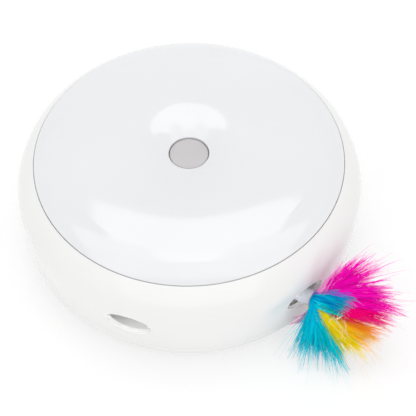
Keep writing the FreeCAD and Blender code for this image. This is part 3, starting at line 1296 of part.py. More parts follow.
def main():
    os.makedirs("parts", exist_ok=True)
    for name, make in PIECES.items():
        made = make()
        shape = Part.makeCompound(made) if isinstance(made, list) else made
        solids = shape.Solids
        if not solids or not all(s.isValid() for s in solids):
            raise ValueError(f"{name} isn't a valid solid")
        if len(solids) == 1:
            shape = solids[0]
        shape.exportStep(f"parts/{name}.step")
        print(f"{name}: {len(solids)} solid(s), {sum(s.Volume for s in solids) / 1000:.2f} cm3")


main()
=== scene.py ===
import json
import math
import random

import bpy
from mathutils import Matrix, Vector


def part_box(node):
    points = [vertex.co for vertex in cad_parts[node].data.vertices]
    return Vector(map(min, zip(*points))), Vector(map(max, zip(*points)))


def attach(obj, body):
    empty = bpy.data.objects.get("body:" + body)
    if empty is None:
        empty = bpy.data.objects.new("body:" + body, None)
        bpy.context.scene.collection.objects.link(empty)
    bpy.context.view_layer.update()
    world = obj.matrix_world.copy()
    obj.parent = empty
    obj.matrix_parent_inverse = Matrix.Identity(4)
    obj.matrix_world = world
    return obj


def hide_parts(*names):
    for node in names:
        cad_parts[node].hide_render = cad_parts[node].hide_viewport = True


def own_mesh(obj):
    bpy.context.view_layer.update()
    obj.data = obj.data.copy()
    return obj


MM = 0.001

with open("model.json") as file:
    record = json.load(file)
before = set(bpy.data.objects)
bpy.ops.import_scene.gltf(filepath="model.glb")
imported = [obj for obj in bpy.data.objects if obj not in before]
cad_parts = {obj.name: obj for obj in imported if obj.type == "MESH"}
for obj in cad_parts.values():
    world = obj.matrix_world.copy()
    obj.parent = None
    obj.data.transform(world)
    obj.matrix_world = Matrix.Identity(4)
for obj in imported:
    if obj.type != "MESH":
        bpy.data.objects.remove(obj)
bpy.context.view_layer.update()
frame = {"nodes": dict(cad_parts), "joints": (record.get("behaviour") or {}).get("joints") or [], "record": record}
nodes = frame["nodes"]


# ---- shader helpers ----------------------------------------------------------------------------
NOISE_LOW, NOISE_HIGH = 0.3, 0.7       # most of a noise's values lie between these


class Shader:
    """A material under construction, with its Principled node and short ways to add others."""

    def __init__(self, name, **inputs):
        self.material = bpy.data.materials.new(name)
        self.material.use_nodes = True
        self.tree = self.material.node_tree
        self.nodes = self.tree.nodes
        self.principled = self.nodes["Principled BSDF"]
        for socket, value in inputs.items():
            self.principled.inputs[socket.replace("_", " ")].default_value = value

    def add(self, kind, **settings):
        node = self.nodes.new(kind)
        for name, value in settings.items():
            if name in node.bl_rna.properties:
                setattr(node, name, value)
            else:
                node.inputs[name.replace("_", " ")].default_value = value
        return node

    def link(self, out, into):
        self.tree.links.new(out, into)

    def feed(self, node, *values):
        """Links or sets the node's first inputs."""
        for value, socket in zip(values, node.inputs):
            if isinstance(value, bpy.types.NodeSocket):
                self.link(value, socket)
            else:
                socket.default_value = value

    def place(self, stretch=(1, 1, 1)):
        """Object coordinates in millimetres, divided by stretch."""
        coords = self.add("ShaderNodeTexCoord")
        mapping = self.add("ShaderNodeMapping")
        mapping.inputs["Scale"].default_value = [1 / MM / s for s in stretch]
        self.link(coords.outputs["Object"], mapping.inputs["Vector"])
        return mapping.outputs["Vector"]

    def noise(self, scale, detail=3.0, stretch=(1, 1, 1)):
        """Noise with scale waves to the millimetre."""
        node = self.add("ShaderNodeTexNoise", Scale=scale, Detail=detail)
        self.link(self.place(stretch), node.inputs["Vector"])
        return node.outputs["Fac"]

    def ramp(self, factor, *stops):
        """A colour ramp. A stop is (position, colour)."""
        node = self.add("ShaderNodeValToRGB")
        elements = node.color_ramp.elements
        while len(elements) < len(stops):
            elements.new(0.5)
        for element, (position, colour) in zip(elements, stops):
            element.position = position
            element.color = (*colour, 1.0)
        self.link(factor, node.inputs["Fac"])
        return node.outputs["Color"]

    def blend(self, factor, dark, light):
        """A ramp from dark to light over the range of a noise."""
        return self.ramp(factor, (NOISE_LOW, dark), (NOISE_HIGH, light))

    def mix(self, factor, first, second):
        node = self.add("ShaderNodeMix", data_type="RGBA")
        self.link(factor, node.inputs["Factor"])
        for value, name in ((first, "A"), (second, "B")):
            socket = next(i for i in node.inputs if i.name == name and i.type == "RGBA")
            if isinstance(value, bpy.types.NodeSocket):
                self.link(value, socket)
            else:
                socket.default_value = (*value, 1.0)
        return next(o for o in node.outputs if o.type == "RGBA")

    def remap(self, value, low, high, to_low, to_high):
        node = self.add("ShaderNodeMapRange")
        self.feed(node, value, low, high, to_low, to_high)
        return node.outputs["Result"]

    def math(self, operation, first, second):
        node = self.add("ShaderNodeMath", operation=operation)
        self.feed(node, first, second)
        return node.outputs[0]

    def colour(self, socket):
        self.link(socket, self.principled.inputs["Base Color"])

    def roughness(self, noise, low, high):
        """Roughness between low and high, as a noise goes."""
        spread = self.remap(noise, NOISE_LOW, NOISE_HIGH, low, high)
        self.link(spread, self.principled.inputs["Roughness"])

    def bump(self, height, distance_mm):
        node = self.add("ShaderNodeBump", Strength=1.0, Distance=distance_mm * MM)
        self.link(height, node.inputs["Height"])
        self.link(node.outputs["Normal"], self.principled.inputs["Normal"])


def shade(value):
    return (value, value, value)


def varied(shader, base, spread, scale=0.05):
    """Colours a surface with a faint cloudy change about its base colour."""
    dark = tuple(c * (1 - spread) for c in base)
    light = tuple(min(1.0, c * (1 + spread)) for c in base)
    shader.colour(shader.blend(shader.noise(scale, detail=4.0), dark, light))


# ---- materials of the rigid pieces -------------------------------------------------------------
CELL_COPPER_FROM = 13.0 * MM           # from the middle of the cells to their coppery ends
CELL_METAL_FROM = 25.2 * MM            # and to their bare metal
FILM_DARK, FILM_LIGHT = (0.035, 0.05, 0.075), (0.05, 0.07, 0.10)
COPPER = (0.42, 0.20, 0.09)
CELL_METAL = (0.62, 0.62, 0.60)
MASK_DARK, MASK_LIGHT = (0.012, 0.10, 0.045), (0.018, 0.13, 0.06)
TRACK_GREEN = (0.05, 0.24, 0.10)
TRACK_SCALE = 0.22                     # cells of the track pattern to the millimetre
TRACK_WIDTH = 0.06                     # share of a cell that a track takes
LEAD_DARK, LEAD_LIGHT = (0.52, 0.02, 0.015), (0.62, 0.035, 0.03)
TUBE_DARK, TUBE_LIGHT = (0.78, 0.82, 0.90), (0.90, 0.92, 0.96)
TUBE_SCATTER = (0.003, 0.003, 0.0035)
METAL_MARK = 0.86                      # how dark the marks in metal are, as a share of its colour


def glossy_shell(name, base, gloss, ripple):
    """Injection-moulded gloss, with a faint ripple and a slightly uneven polish."""
    s = Shader(name, IOR=1.5, Coat_Weight=0.35, Coat_Roughness=0.08)
    varied(s, base, spread=0.012, scale=0.02)
    s.roughness(s.noise(0.12), gloss * 0.85, gloss * 1.25)
    s.bump(s.noise(0.09, detail=2.0), ripple)
    return s.material


def moulded(name, base, roughness, grain=0.02):
    """Spark-eroded matt plastic with a fine grain."""
    s = Shader(name, IOR=1.46)
    varied(s, base, spread=0.03)
    s.roughness(s.noise(1.2), roughness * 0.85, roughness * 1.15)
    s.bump(s.noise(2.2, detail=4.0), grain)
    return s.material


def metal(name, base, roughness, stretch=(1, 1, 1)):
    """Metal with fine marks along the long side of stretch."""
    s = Shader(name, Metallic=1.0)
    marks = s.noise(1.5, detail=5.0, stretch=stretch)
    s.colour(s.ramp(marks, (0.25, tuple(c * METAL_MARK for c in base)), (0.75, base)))
    s.roughness(marks, roughness * 0.7, roughness * 1.3)
    s.bump(marks, 0.01)
    return s.material


def rubber():
    s = Shader("rubber_grey", IOR=1.48, Sheen_Weight=0.15)
    varied(s, shade(0.30), spread=0.06, scale=0.2)
    s.roughness(s.noise(1.0), 0.62, 0.82)
    s.bump(s.noise(3.0, detail=5.0), 0.05)
    return s.material


def sleeve():
    """Cloudy extruded tube, with faint lines along the arm."""
    s = Shader("sleeve_clear", IOR=1.49, Roughness=0.22, Transmission_Weight=0.35, Subsurface_Weight=0.2)
    s.principled.inputs["Subsurface Radius"].default_value = TUBE_SCATTER
    lines = s.noise(1.4, stretch=(6, 3.4, 1))
    s.colour(s.blend(lines, TUBE_DARK, TUBE_LIGHT))
    s.bump(lines, 0.03)
    return s.material


def cell_jacket():
    """Shrink film on the cells: a dark middle and coppery ends, with no print."""
    s = Shader("cell_jacket", IOR=1.5, Coat_Weight=0.4, Coat_Roughness=0.12, Metallic=0.55)
    coords = s.add("ShaderNodeTexCoord")
    split = s.add("ShaderNodeSeparateXYZ")
    s.link(coords.outputs["Object"], split.inputs[0])
    along = s.math("ABSOLUTE", split.outputs["X"], 0.0)
    film = s.blend(s.noise(0.3), FILM_DARK, FILM_LIGHT)
    banded = s.mix(s.math("GREATER_THAN", along, CELL_COPPER_FROM), film, COPPER)
    s.colour(s.mix(s.math("GREATER_THAN", along, CELL_METAL_FROM), banded, CELL_METAL))
    s.roughness(s.noise(0.8), 0.22, 0.34)
    s.bump(s.noise(0.8, detail=2.0), 0.02)
    return s.material


def felt():
    s = Shader("felt", Sheen_Weight=0.5, Roughness=0.95)
    varied(s, shade(0.35), spread=0.2, scale=2.0)
    s.bump(s.noise(5.0, detail=6.0), 0.25)
    return s.material


def circuit_board():
    """Green solder mask over tracks."""
    s = Shader("board_green", IOR=1.5, Coat_Weight=0.3, Coat_Roughness=0.15)
    pattern = {"distance": "MANHATTAN", "feature": "DISTANCE_TO_EDGE", "Scale": TRACK_SCALE}
    tracks = s.add("ShaderNodeTexVoronoi", **pattern)
    s.link(s.place(), tracks.inputs["Vector"])
    line = s.math("LESS_THAN", tracks.outputs["Distance"], TRACK_WIDTH)
    mask = s.blend(s.noise(0.3), MASK_DARK, MASK_LIGHT)
    s.colour(s.mix(line, mask, TRACK_GREEN))
    s.roughness(s.noise(1.5), 0.28, 0.4)
    s.bump(line, 0.05)
    return s.material


def led_lens():
    s = Shader("led_lens", IOR=1.5, Roughness=0.3, Transmission_Weight=0.4, Subsurface_Weight=0.3)
    varied(s, (0.86, 0.90, 0.94), spread=0.04, scale=0.6)
    s.bump(s.noise(2.0), 0.02)
    return s.material


def lead_jacket():
    """Red wire insulation."""
    s = Shader("lead_jacket", IOR=1.48, Roughness=0.45)
    s.colour(s.blend(s.noise(0.5), LEAD_DARK, LEAD_LIGHT))
    s.bump(s.noise(2.0), 0.03)
    return s.material


def button_plastic():
    """Satin grey with a fine, even grain."""
    s = Shader("button_grey", IOR=1.46)
    varied(s, (0.565, 0.55, 0.555), spread=0.015, scale=0.1)
    s.roughness(s.noise(1.0), 0.36, 0.46)
    s.bump(s.noise(4.0), 0.006)
    return s.material


MATERIALS = {
    "housing_white": lambda: glossy_shell("housing_white", (0.85, 0.847, 0.84), gloss=0.14, ripple=0.012),
    "lid_white": lambda: glossy_shell("lid_white", (0.75, 0.755, 0.768), gloss=0.09, ripple=0.006),
    "collar_white": lambda: glossy_shell("collar_white", (0.84, 0.85, 0.87), gloss=0.2, ripple=0.01),
    "tray_white": lambda: moulded("tray_white", shade(0.78), 0.5),
    "inner_plastic": lambda: moulded("inner_plastic", (0.72, 0.72, 0.73), 0.4),
    "gear_plastic": lambda: moulded("gear_plastic", (0.82, 0.80, 0.72), 0.35, grain=0.008),
    "black_plastic": lambda: moulded("black_plastic", (0.025, 0.025, 0.027), 0.42),
    "steel": lambda: metal("steel", (0.62, 0.62, 0.64), 0.28),
    "nickel": lambda: metal("nickel", (0.74, 0.71, 0.64), 0.18),
    "motor_metal": lambda: metal("motor_metal", shade(0.66), 0.32, stretch=(8, 1, 1)),
    "brass": lambda: metal("brass", (0.78, 0.57, 0.25), 0.25, stretch=(1, 1, 6)),
    "button_grey": button_plastic,
    "rubber_grey": rubber,
    "sleeve_clear": sleeve,
    "cell_jacket": cell_jacket,
    "felt": felt,
    "board_green": circuit_board,
    "led_lens": led_lens,
    "lead_jacket": lead_jacket,
}


def dress_nodes():
    """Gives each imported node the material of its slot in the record."""
    slots = {row["node"]: row["material_slot"] for row in frame["record"]["subparts"]}
    made = {slot: make() for slot, make in MATERIALS.items()}
    for name, node in nodes.items():
        if slots[name] in made:
            node.data.materials.clear()
            node.data.materials.append(made[slots[name]])


# ---- the feather tuft --------------------------------------------------------------------------
ARM_JOINT = next(j for j in frame["joints"] if j["name"] == "arm_slide")
ALONG = Vector(ARM_JOINT["axis"]).normalized()          # the way the arm moves out
UP = Vector((0, 0, 1))
TO_FRONT = UP.cross(ALONG).normalized() * -1            # level, square to the arm, towards the front
collar_low, collar_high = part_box("feather_collar")
COLLAR_STATIONS = [v.co.dot(ALONG) for v in nodes["feather_collar"].data.vertices]
collar_middle = (collar_low + collar_high) / 2
ROOT = collar_middle + ALONG * (max(COLLAR_STATIONS) - collar_middle.dot(ALONG))
SEED = 7
SECTORS = 32               # pieces about the arm that the tuft is split into
SECTOR_ANGLE = 360 / SECTORS
BARB_SIDES = 3
BARB_TAPER = 0.7           # share of its width that a barb loses up to its tip
PALE_COLOUR = (0.95, 0.93, 0.97)
PALE_FROM, PALE_FULL = 0.85, 1.6       # where along a barb it starts to pale, and where it would be pale

# Clumps, in mm from the collar's end. Pairs are the limits of a random draw.
ROOT_RADIUS = 4.4          # just outside the collar
ROOT_FAN = (-20, 20)       # degrees about the clump's root angle
ROOT_BACK = (-5.0, -3.2)   # along the arm
LEAVE_REACH = 10           # how far a clump keeps to the arm before it leaves it
LEAVE_PER_LIFT = 1.2       # what each mm of its lift takes off that
LEAVE_SHARE = (0.6, 1.0)
LIFT_SHARE = (0.4, 1.1)
BEND_AT = 0.55             # where between leaving the arm and its tip a clump bends
BEND_RISE = 0.12           # how far it rises there, as a share of its length
BEND_STRAY = 1.5
CLUMP_BARBS = 8
CLUMP_FLUFF = 3            # short barbs that stand off a clump
CLUMP_REACH = (0.75, 1.08)
CLUMP_SPREAD = (0.7, 1.9)

# Barbs of a clump. Places along it go from 0 at its root to 1 at its tip.
BARB_FROM = (0.0, 0.4)
BARB_TO = (0.75, 1.0)
BARB_SIDE = (0.2, 1.0)
BARB_SWAY = (0.1, 0.45)
BARB_WIDTH = (0.2, 0.34)
SHORT_BARB = 0.6           # a barb shorter than this has fewer steps
SHORT_STEPS, LONG_STEPS = 5, 6
SWAY_WAVES = 5
ANY_PHASE = (0, 6.3)
SIDE_AT_ROOT = 0.25        # how far a barb stands off its clump's line, and how it swells and comes back
SIDE_SWELL = 1.3
SIDE_BACK = 1.15
FLUFF_FROM = (0.15, 0.85)
FLUFF_LENGTH = (4, 9)
FLUFF_LEAN = (0.3, 0.8)
FLUFF_WIDTH = (0.14, 0.22)
FLUFF_STEPS = 4
FLUFF_STRAIGHTENS = 0.35
FLUFF_SAGS = 0.15
FLUFF_SPAN = 0.2           # how much of the clump's dye range it shows
DYE_SHIFT = (-0.012, 0.012)
DYE_CHANGE = 2.0           # a clump has its tip's dye from half its length on

# The dyes, in such an order that a barb can run from one into the next.
DYES = {
    "pink": (0.95, 0.36, 0.70),
    "purple": (0.42, 0.10, 0.72),
    "magenta": (1.00, 0.00, 0.56),
    "rose": (0.95, 0.00, 0.22),
    "red": (0.88, 0.01, 0.04),
    "orange": (1.00, 0.30, 0.02),
    "amber": (1.00, 0.52, 0.01),
    "yellow": (1.00, 0.82, 0.005),
    "lime": (0.62, 0.74, 0.02),
    "teal": (0.00, 0.45, 0.42),
    "cyan": (0.00, 0.76, 0.90),
    "azure": (0.00, 0.34, 0.72),
}
DYE_NAMES = list(DYES)

# A fan of clumps: how many, angles of the roots about the arm at its two sides (0 is towards the
# front, 90 is up), tips at its two sides (along the arm, towards the front and up), how far a tip may
# stray, how far the clumps stand off at the root, and the dyes of root and tip.
FANS = (
    (130, (85, 30), (-5, 19, -26), (12, 16, -28), 4, 5, "azure", "cyan"),
    (90, (85, 25), (-2, 14, -20), (14, 10, -19), 4, 5, "azure", "cyan"),
    (40, (30, 5), (11, 14, -26), (26, 14, -28), 4, 3.5, "cyan", "cyan"),
    (14, (40, 5), (14, 18, -28), (27, 17, -28), 4, 4, "lime", "cyan"),
    (80, (115, 60), (16, -7, 8), (13, 2, 3), 3, 5, "azure", "azure"),
    (40, (80, 50), (14, -1, 6), (13, 4, 1), 2.5, 5, "azure", "teal"),
    (6, (105, 90), (19, -9, 10), (18, -4, 8), 3, 5, "purple", "purple"),
    (80, (25, -5), (21, 9, -19), (32, 4, -17), 4.5, 3, "yellow", "yellow"),
    (30, (40, 15), (17, 8, -14), (25, 4, -10), 3.5, 4, "yellow", "yellow"),
    (24, (15, 5), (15, 10, -21), (23, 10, -22), 3.5, 3, "lime", "lime"),
    (50, (0, -20), (32, 4, -16), (35, -3, -13), 4, 3, "yellow", "amber"),
    (30, (-20, -40), (34, -2, -12), (35, -6, -9), 3.5, 3, "amber", "orange"),
    (30, (40, 10), (24, -1, -5), (29, -6, -6), 3, 3, "red", "red"),
    (70, (60, 20), (33, -6, -8), (36, -11, -3), 4, 3, "rose", "rose"),
    (70, (120, 60), (35, -10, -4), (37, -17, 1), 4.5, 3, "rose", "magenta"),
    (90, (130, 90), (36, -15, 2), (28, -20, 11), 4.5, 3, "magenta", "magenta"),
    (38, (135, 100), (28, -22, 12), (15, -27, 20), 6, 3, "magenta", "magenta"),
    (26, (140, 110), (16, -25, 21), (5, -16, 20), 5, 3, "magenta", "magenta"),
    (14, (130, 80), (10, -20, 15), (2, -11, 14), 4, 3, "magenta", "magenta"),
    (14, (120, 100), (4, -12, 16), (-1, -7, 13), 3, 4, "pink", "pink"),
    (50, (190, 240), (26, -22, 2), (24, -14, -14), 6, 3, "magenta", "magenta"),
    (20, (250, 280), (20, -10, -20), (8, -2, -24), 6, 3, "rose", "magenta"),
    (8, (0, -20), (-14, 9, -20), (-10, 6, -23), 4, 3, "pink", "pink"),
)
# Long loose barbs beyond the fans: how many, tips at the two sides and the dye.
WISPS = (
    (20, (28, -28, 18), (8, -23, 22), "magenta"),
    (14, (40, -22, 4), (38, -8, -10), "rose"),
    (10, (38, 4, -18), (30, 14, -26), "amber"),
    (20, (26, 20, -29), (2, 25, -29), "cyan"),
    (8, (-6, 22, -28), (-12, 20, -26), "cyan"),
    (8, (8, -18, 20), (-2, -12, 18), "pink"),
)
WISP_STRAY = 6
WISP_ROOTS = (0, 130)      # degrees about the arm
WISP_LIFT = 3
WISP_STEPS = 8
WISP_JITTER = 0.1
WISP_WIDTH = (0.22, 0.3)
WISP_STRETCH = (0, 1.05)

# Loose pale barbs that loop over the yellow. Their ends are given as a fan's tips are.
CURLS = 10
CURL_FIRST = (8, 3, 3)
CURL_LAST = (17, 10, -4)
CURL_SHIFT = 2.0
CURL_RADIUS = (1.5, 3.5)
CURL_TURNS = (0.6, 1.3)
CURL_DRAG = (0.95, 1.0)
CURL_FLAT_FRONT, CURL_FLAT_UP = 0.6, 0.8
CURL_STEPS = 14
CURL_WIDTH = 0.26
CURL_STRETCH = (1.2, 1.3)


def around(angle):
    """The direction out from the arm at an angle about it."""
    a = math.radians(angle)
    return TO_FRONT * math.cos(a) + UP * math.sin(a)


def feather_material():
    """Dyed down: each barb has its dye and pales towards its tip."""
    s = Shader("feather", Roughness=0.8, Specular_IOR_Level=0.05)
    dye = s.add("ShaderNodeAttribute", attribute_name="dye")
    along = s.add("ShaderNodeAttribute", attribute_name="along")
    palette = s.ramp(dye.outputs["Fac"], *[(dye_place(name), colour) for name, colour in DYES.items()])
    pale = s.remap(along.outputs["Fac"], PALE_FROM, PALE_FULL, 0.0, 1.0)
    s.colour(s.mix(pale, palette, PALE_COLOUR))
    s.bump(s.noise(6.0, detail=2.0), 0.02)
    return s.material


def dye_place(name):
    """Where a dye lies on the ramp of dyes, from 0 to 1."""
    return DYE_NAMES.index(name) / (len(DYE_NAMES) - 1)


def bezier(corners, t):
    a, b, c, d = corners
    u = 1 - t
    return a * (u ** 3) + b * (3 * u * u * t) + c * (3 * u * t * t) + d * (t ** 3)


def anywhere(rng):
    """A random direction."""
    while True:
        v = Vector([rng.uniform(-1, 1) for _ in range(3)])
        if 0.1 < v.length < 1:
            return v.normalized()


def clump_corners(rng, root_angle, tip, apart, lift):
    """Control points of a clump in mm from the root: over the collar's edge, up and round to its tip."""
    out = around(root_angle + rng.uniform(*ROOT_FAN))
    start = out * ROOT_RADIUS + ALONG * rng.uniform(*ROOT_BACK)
    kept = ALONG * ((LEAVE_REACH - LEAVE_PER_LIFT * lift) * rng.uniform(*LEAVE_SHARE))
    leave = start + kept + out * (lift * rng.uniform(*LIFT_SHARE))
    stray = anywhere(rng) * (apart * rng.random() ** 0.5)
    end = ALONG * tip.x + TO_FRONT * tip.y + UP * tip.z + stray
    rise = UP * (BEND_RISE * (end - leave).length)
    bend = leave + (end - leave) * BEND_AT + rise + anywhere(rng) * BEND_STRAY
    return start, leave, bend, end


def clump_barb(rng, corners, reach, spread):
    """One barb of a clump: it keeps to the clump's line and comes back to it at its tip."""
    first = rng.uniform(*BARB_FROM) * rng.random()
    last = reach * rng.uniform(*BARB_TO)
    side = anywhere(rng) * rng.uniform(*BARB_SIDE) * spread
    sway = anywhere(rng) * rng.uniform(*BARB_SWAY)
    phase = rng.uniform(*ANY_PHASE)
    steps = SHORT_STEPS if last - first < SHORT_BARB else LONG_STEPS
    points = []
    for k in range(steps + 1):
        u = k / steps
        t = first + (last - first) * u
        aside = side * (SIDE_AT_ROOT + SIDE_SWELL * t * (SIDE_BACK - t))
        offset = aside + sway * (u * math.sin(SWAY_WAVES * t + phase))
        points.append(bezier(corners, t) + offset)
    return points, first, last


def fluff_barb(rng, corners, reach):
    """A short barb that stands off a clump."""
    t = reach * rng.uniform(*FLUFF_FROM)
    here = bezier(corners, t)
    heading = (bezier(corners, t + 0.05) - here).normalized()
    side = anywhere(rng)
    side = (side - heading * side.dot(heading)).normalized()
    length = rng.uniform(*FLUFF_LENGTH)
    lean = rng.uniform(*FLUFF_LEAN)
    points = []
    for k in range(FLUFF_STEPS + 1):
        u = k / FLUFF_STEPS
        aside = side * (lean * u * (1 - FLUFF_STRAIGHTENS * u))
        points.append(here + (heading * u + aside - UP * (FLUFF_SAGS * u * u)) * length)
    return points, t, t + FLUFF_SPAN


def add_wisp(rng, sectors, tip, dye):
    """A long barb that runs on its own past the ends of the clumps."""
    corners = clump_corners(rng, rng.uniform(*WISP_ROOTS), tip, WISP_STRAY, WISP_LIFT)
    shares = [k / WISP_STEPS for k in range(WISP_STEPS + 1)]
    points = [bezier(corners, u) + anywhere(rng) * (WISP_JITTER * u) for u in shares]
    place_strand(sectors, points, rng.uniform(*WISP_WIDTH), [dye_place(dye)] * 2, WISP_STRETCH)


def add_curl(rng, sectors):
    """A loose barb that loops once or twice on its way out."""
    first, last = Vector(CURL_FIRST), Vector(CURL_LAST)
    shift = anywhere(rng) * CURL_SHIFT
    radius = rng.uniform(*CURL_RADIUS)
    turns = rng.uniform(*CURL_TURNS)
    phase = rng.uniform(*ANY_PHASE)
    points = []
    for k in range(CURL_STEPS + 1):
        u = k / CURL_STEPS
        middle = first.lerp(last, u * rng.uniform(*CURL_DRAG)) + shift
        a = phase + 2 * math.pi * turns * u
        x = middle.x + radius * math.cos(a)
        y = middle.y + CURL_FLAT_FRONT * radius * math.sin(a)
        z = middle.z + CURL_FLAT_UP * radius * math.sin(a)
        points.append(ALONG * x + TO_FRONT * y + UP * z)
    place_strand(sectors, points, CURL_WIDTH, [dye_place("yellow")] * 2, CURL_STRETCH)


PROFILE_STEP = 1.0 * MM
FLOOR_CLEARANCE = 0.4 * MM
WALL_CLEARANCE = 0.5 * MM
WINDOW_REACH = 7 * MM      # nearer to the root than this a strand may be in the window


def measure_profile():
    """The largest radius of the housing in each millimetre of its height."""
    low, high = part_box("body_shell")
    found = [0.0] * (int(high.z / PROFILE_STEP) + 2)
    vertices = nodes["body_shell"].data.vertices
    for polygon in nodes["body_shell"].data.polygons:
        corners = [vertices[i].co for i in polygon.vertices]
        reach = max(math.hypot(c.x, c.y) for c in corners)
        first = int(min(c.z for c in corners) / PROFILE_STEP)
        last = int(max(c.z for c in corners) / PROFILE_STEP)
        for k in range(first, last + 1):
            found[k] = max(found[k], reach)
    return found


HOUSING_PROFILE = measure_profile()


def clear_place(point):
    """The place of a point given in mm from the root, kept above the floor and out of the housing."""
    place = ROOT + point * MM
    place.z = max(place.z, FLOOR_CLEARANCE)
    level = math.hypot(place.x, place.y)
    k = int(place.z / PROFILE_STEP)
    wall = HOUSING_PROFILE[k] + WALL_CLEARANCE if k < len(HOUSING_PROFILE) else 0.0
    if (place - ROOT).length > WINDOW_REACH and level < wall:
        place.x *= wall / level
        place.y *= wall / level
    return place


def sector_of(points):
    """Which sector about the arm a strand's outer end lies in."""
    end = points[-1]
    angle = math.degrees(math.atan2(end.dot(UP), end.dot(TO_FRONT)))
    return int(((angle % 360) + SECTOR_ANGLE / 2) // SECTOR_ANGLE) % SECTORS


def place_strand(sectors, points, width, dyes, stretch):
    """Adds a strand, given in mm from the root, to its sector."""
    sectors[sector_of(points)].add([clear_place(p) for p in points], width, dyes, stretch)


class Strands:
    """Collects tapered strands into one closed mesh."""

    def __init__(self):
        self.vertices, self.faces, self.dye, self.along = [], [], [], []

    def add(self, points, width, dyes, stretch):
        """Adds a strand, in metres. dyes and stretch are the dye and the place along at its two ends."""
        first, count = len(self.vertices), len(points)
        side = (points[1] - points[0]).orthogonal().normalized()
        for k, point in enumerate(points):
            u = k / (count - 1)
            heading = (points[min(k + 1, count - 1)] - points[max(k - 1, 0)]).normalized()
            side = (side - heading * side.dot(heading)).normalized()
            other = heading.cross(side)
            half = width * MM / 2 * (1 - BARB_TAPER * u ** 2)
            for j in range(BARB_SIDES):
                a = 2 * math.pi * j / BARB_SIDES
                self.vertices.append(point + (side * math.cos(a) + other * math.sin(a)) * half)
                self.dye.append(dyes[0] + (dyes[1] - dyes[0]) * u)
                self.along.append(stretch[0] + (stretch[1] - stretch[0]) * u)
        for k in range(count - 1):
            for j in range(BARB_SIDES):
                a = first + k * BARB_SIDES + j
                b = first + k * BARB_SIDES + (j + 1) % BARB_SIDES
                self.faces.append((a, b, b + BARB_SIDES, a + BARB_SIDES))
        self.faces.append(tuple(first + j for j in reversed(range(BARB_SIDES))))
        self.faces.append(tuple(first + (count - 1) * BARB_SIDES + j for j in range(BARB_SIDES)))

    def build(self, name, material):
        mesh = bpy.data.meshes.new(name)
        mesh.from_pydata(self.vertices, [], self.faces)
        for attribute, values in (("dye", self.dye), ("along", self.along)):
            layer = mesh.attributes.new(attribute, "FLOAT", "POINT")
            layer.data.foreach_set("value", values)
        mesh.polygons.foreach_set("use_smooth", [True] * len(mesh.polygons))
        mesh.materials.append(material)
        mesh.update()
        piece = bpy.data.objects.new(name, mesh)
        bpy.context.scene.collection.objects.link(piece)
        return piece


def grow_clump(rng, sectors, corners, dyes):
    """Adds a clump's barbs and the short ones that stand off it."""
    reach, spread = rng.uniform(*CLUMP_REACH), rng.uniform(*CLUMP_SPREAD)
    barbs = []
    for _ in range(CLUMP_BARBS):
        barbs.append((*clump_barb(rng, corners, reach, spread), rng.uniform(*BARB_WIDTH)))
    for _ in range(CLUMP_FLUFF):
        barbs.append((*fluff_barb(rng, corners, reach), rng.uniform(*FLUFF_WIDTH)))
    for points, first, last, width in barbs:
        shift = rng.uniform(*DYE_SHIFT)
        hues = [dyes[0] + (dyes[1] - dyes[0]) * min(1.0, DYE_CHANGE * t) + shift for t in (first, last)]
        place_strand(sectors, points, width, hues, (first, last / reach))


def feather_tuft():
    """The tuft: fans of barbs round the collar, in sectors about the arm, carried on the arm."""
    rng = random.Random(SEED)
    sectors = [Strands() for _ in range(SECTORS)]
    for clumps, root_angles, first_tip, last_tip, apart, lift, root_dye, tip_dye in FANS:
        for _ in range(clumps):
            across = rng.random()
            root_angle = root_angles[0] + (root_angles[1] - root_angles[0]) * across
            tip = Vector(first_tip).lerp(Vector(last_tip), across)
            corners = clump_corners(rng, root_angle, tip, apart, lift)
            grow_clump(rng, sectors, corners, (dye_place(root_dye), dye_place(tip_dye)))
    for count, first_tip, last_tip, dye in WISPS:
        for _ in range(count):
            add_wisp(rng, sectors, Vector(first_tip).lerp(Vector(last_tip), rng.random()), dye)
    for _ in range(CURLS):
        add_curl(rng, sectors)
    material = feather_material()
    pieces = []
    for k, strands in enumerate(sectors):
        piece = strands.build(f"feather_barbs_{k + 1:02d}", material)
        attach(piece, "feather_arm")
        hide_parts("feather_tuft")
        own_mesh(piece)
        pieces.append(piece)
    return pieces


def button_coil():
    """The button's spring again, as a piece of its own on the base."""
    piece = bpy.data.objects.new("button_coil", nodes["button_spring"].data.copy())
    bpy.context.scene.collection.objects.link(piece)
    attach(piece, "base")
    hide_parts("button_spring")
    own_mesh(piece)


# ---- camera, light and floor -------------------------------------------------------------------
CAMERA_AT = Vector((7.56, -406.3, 555.3)) * MM
CAMERA_DOWN = 53.237       # degrees below the horizon
CAMERA_YAW = -0.278
CAMERA_ROLL = -0.478
CAMERA_LENS = 108.2        # mm, on a sensor of this width
CAMERA_SENSOR = 36.0
CAMERA_NEAR, CAMERA_FAR = 0.01, 20.0   # m

# A lamp's radiance is the brightness of its face, where 1 is white. Sizes are in metres.
SOFTBOXES = (              # name, place, what it faces, width, depth, radiance
    ("softbox", (0.03, 0.42, 1.2), (0.03, 0.42, 0.0), 0.90, 0.38, 1.66),
    ("strip", (-0.016, 0.107, 1.2), (-0.016, 0.107, 0.0), 0.33, 0.31, 1.9),
    ("front_fill", (0.0, -2.0, 1.0), (0.0, 0.0, 0.03), 3.4, 2.0, 0.52),
)
LID_CARD = ("lid_card", (0.0, -0.17, 1.2), (0.0, -0.17, 0.2), 2.0, 0.80, 1.0)
TUFT_FILL_FROM = (0.25, -0.5, 0.8)     # from the tuft's root
TUFT_FILL_SIZE = 0.6
TUFT_FILL_RADIANCE = 3.5
GLOW_PLACES = 6            # one midway between each two windows
GLOW_AZIMUTH = 10          # degrees from the front, of the first place
GLOW_LEFT_OUT = 1          # the place to the right of the feather's window
GLOW_POWER = 0.02          # W
GLOW_SIZE = 4 * MM
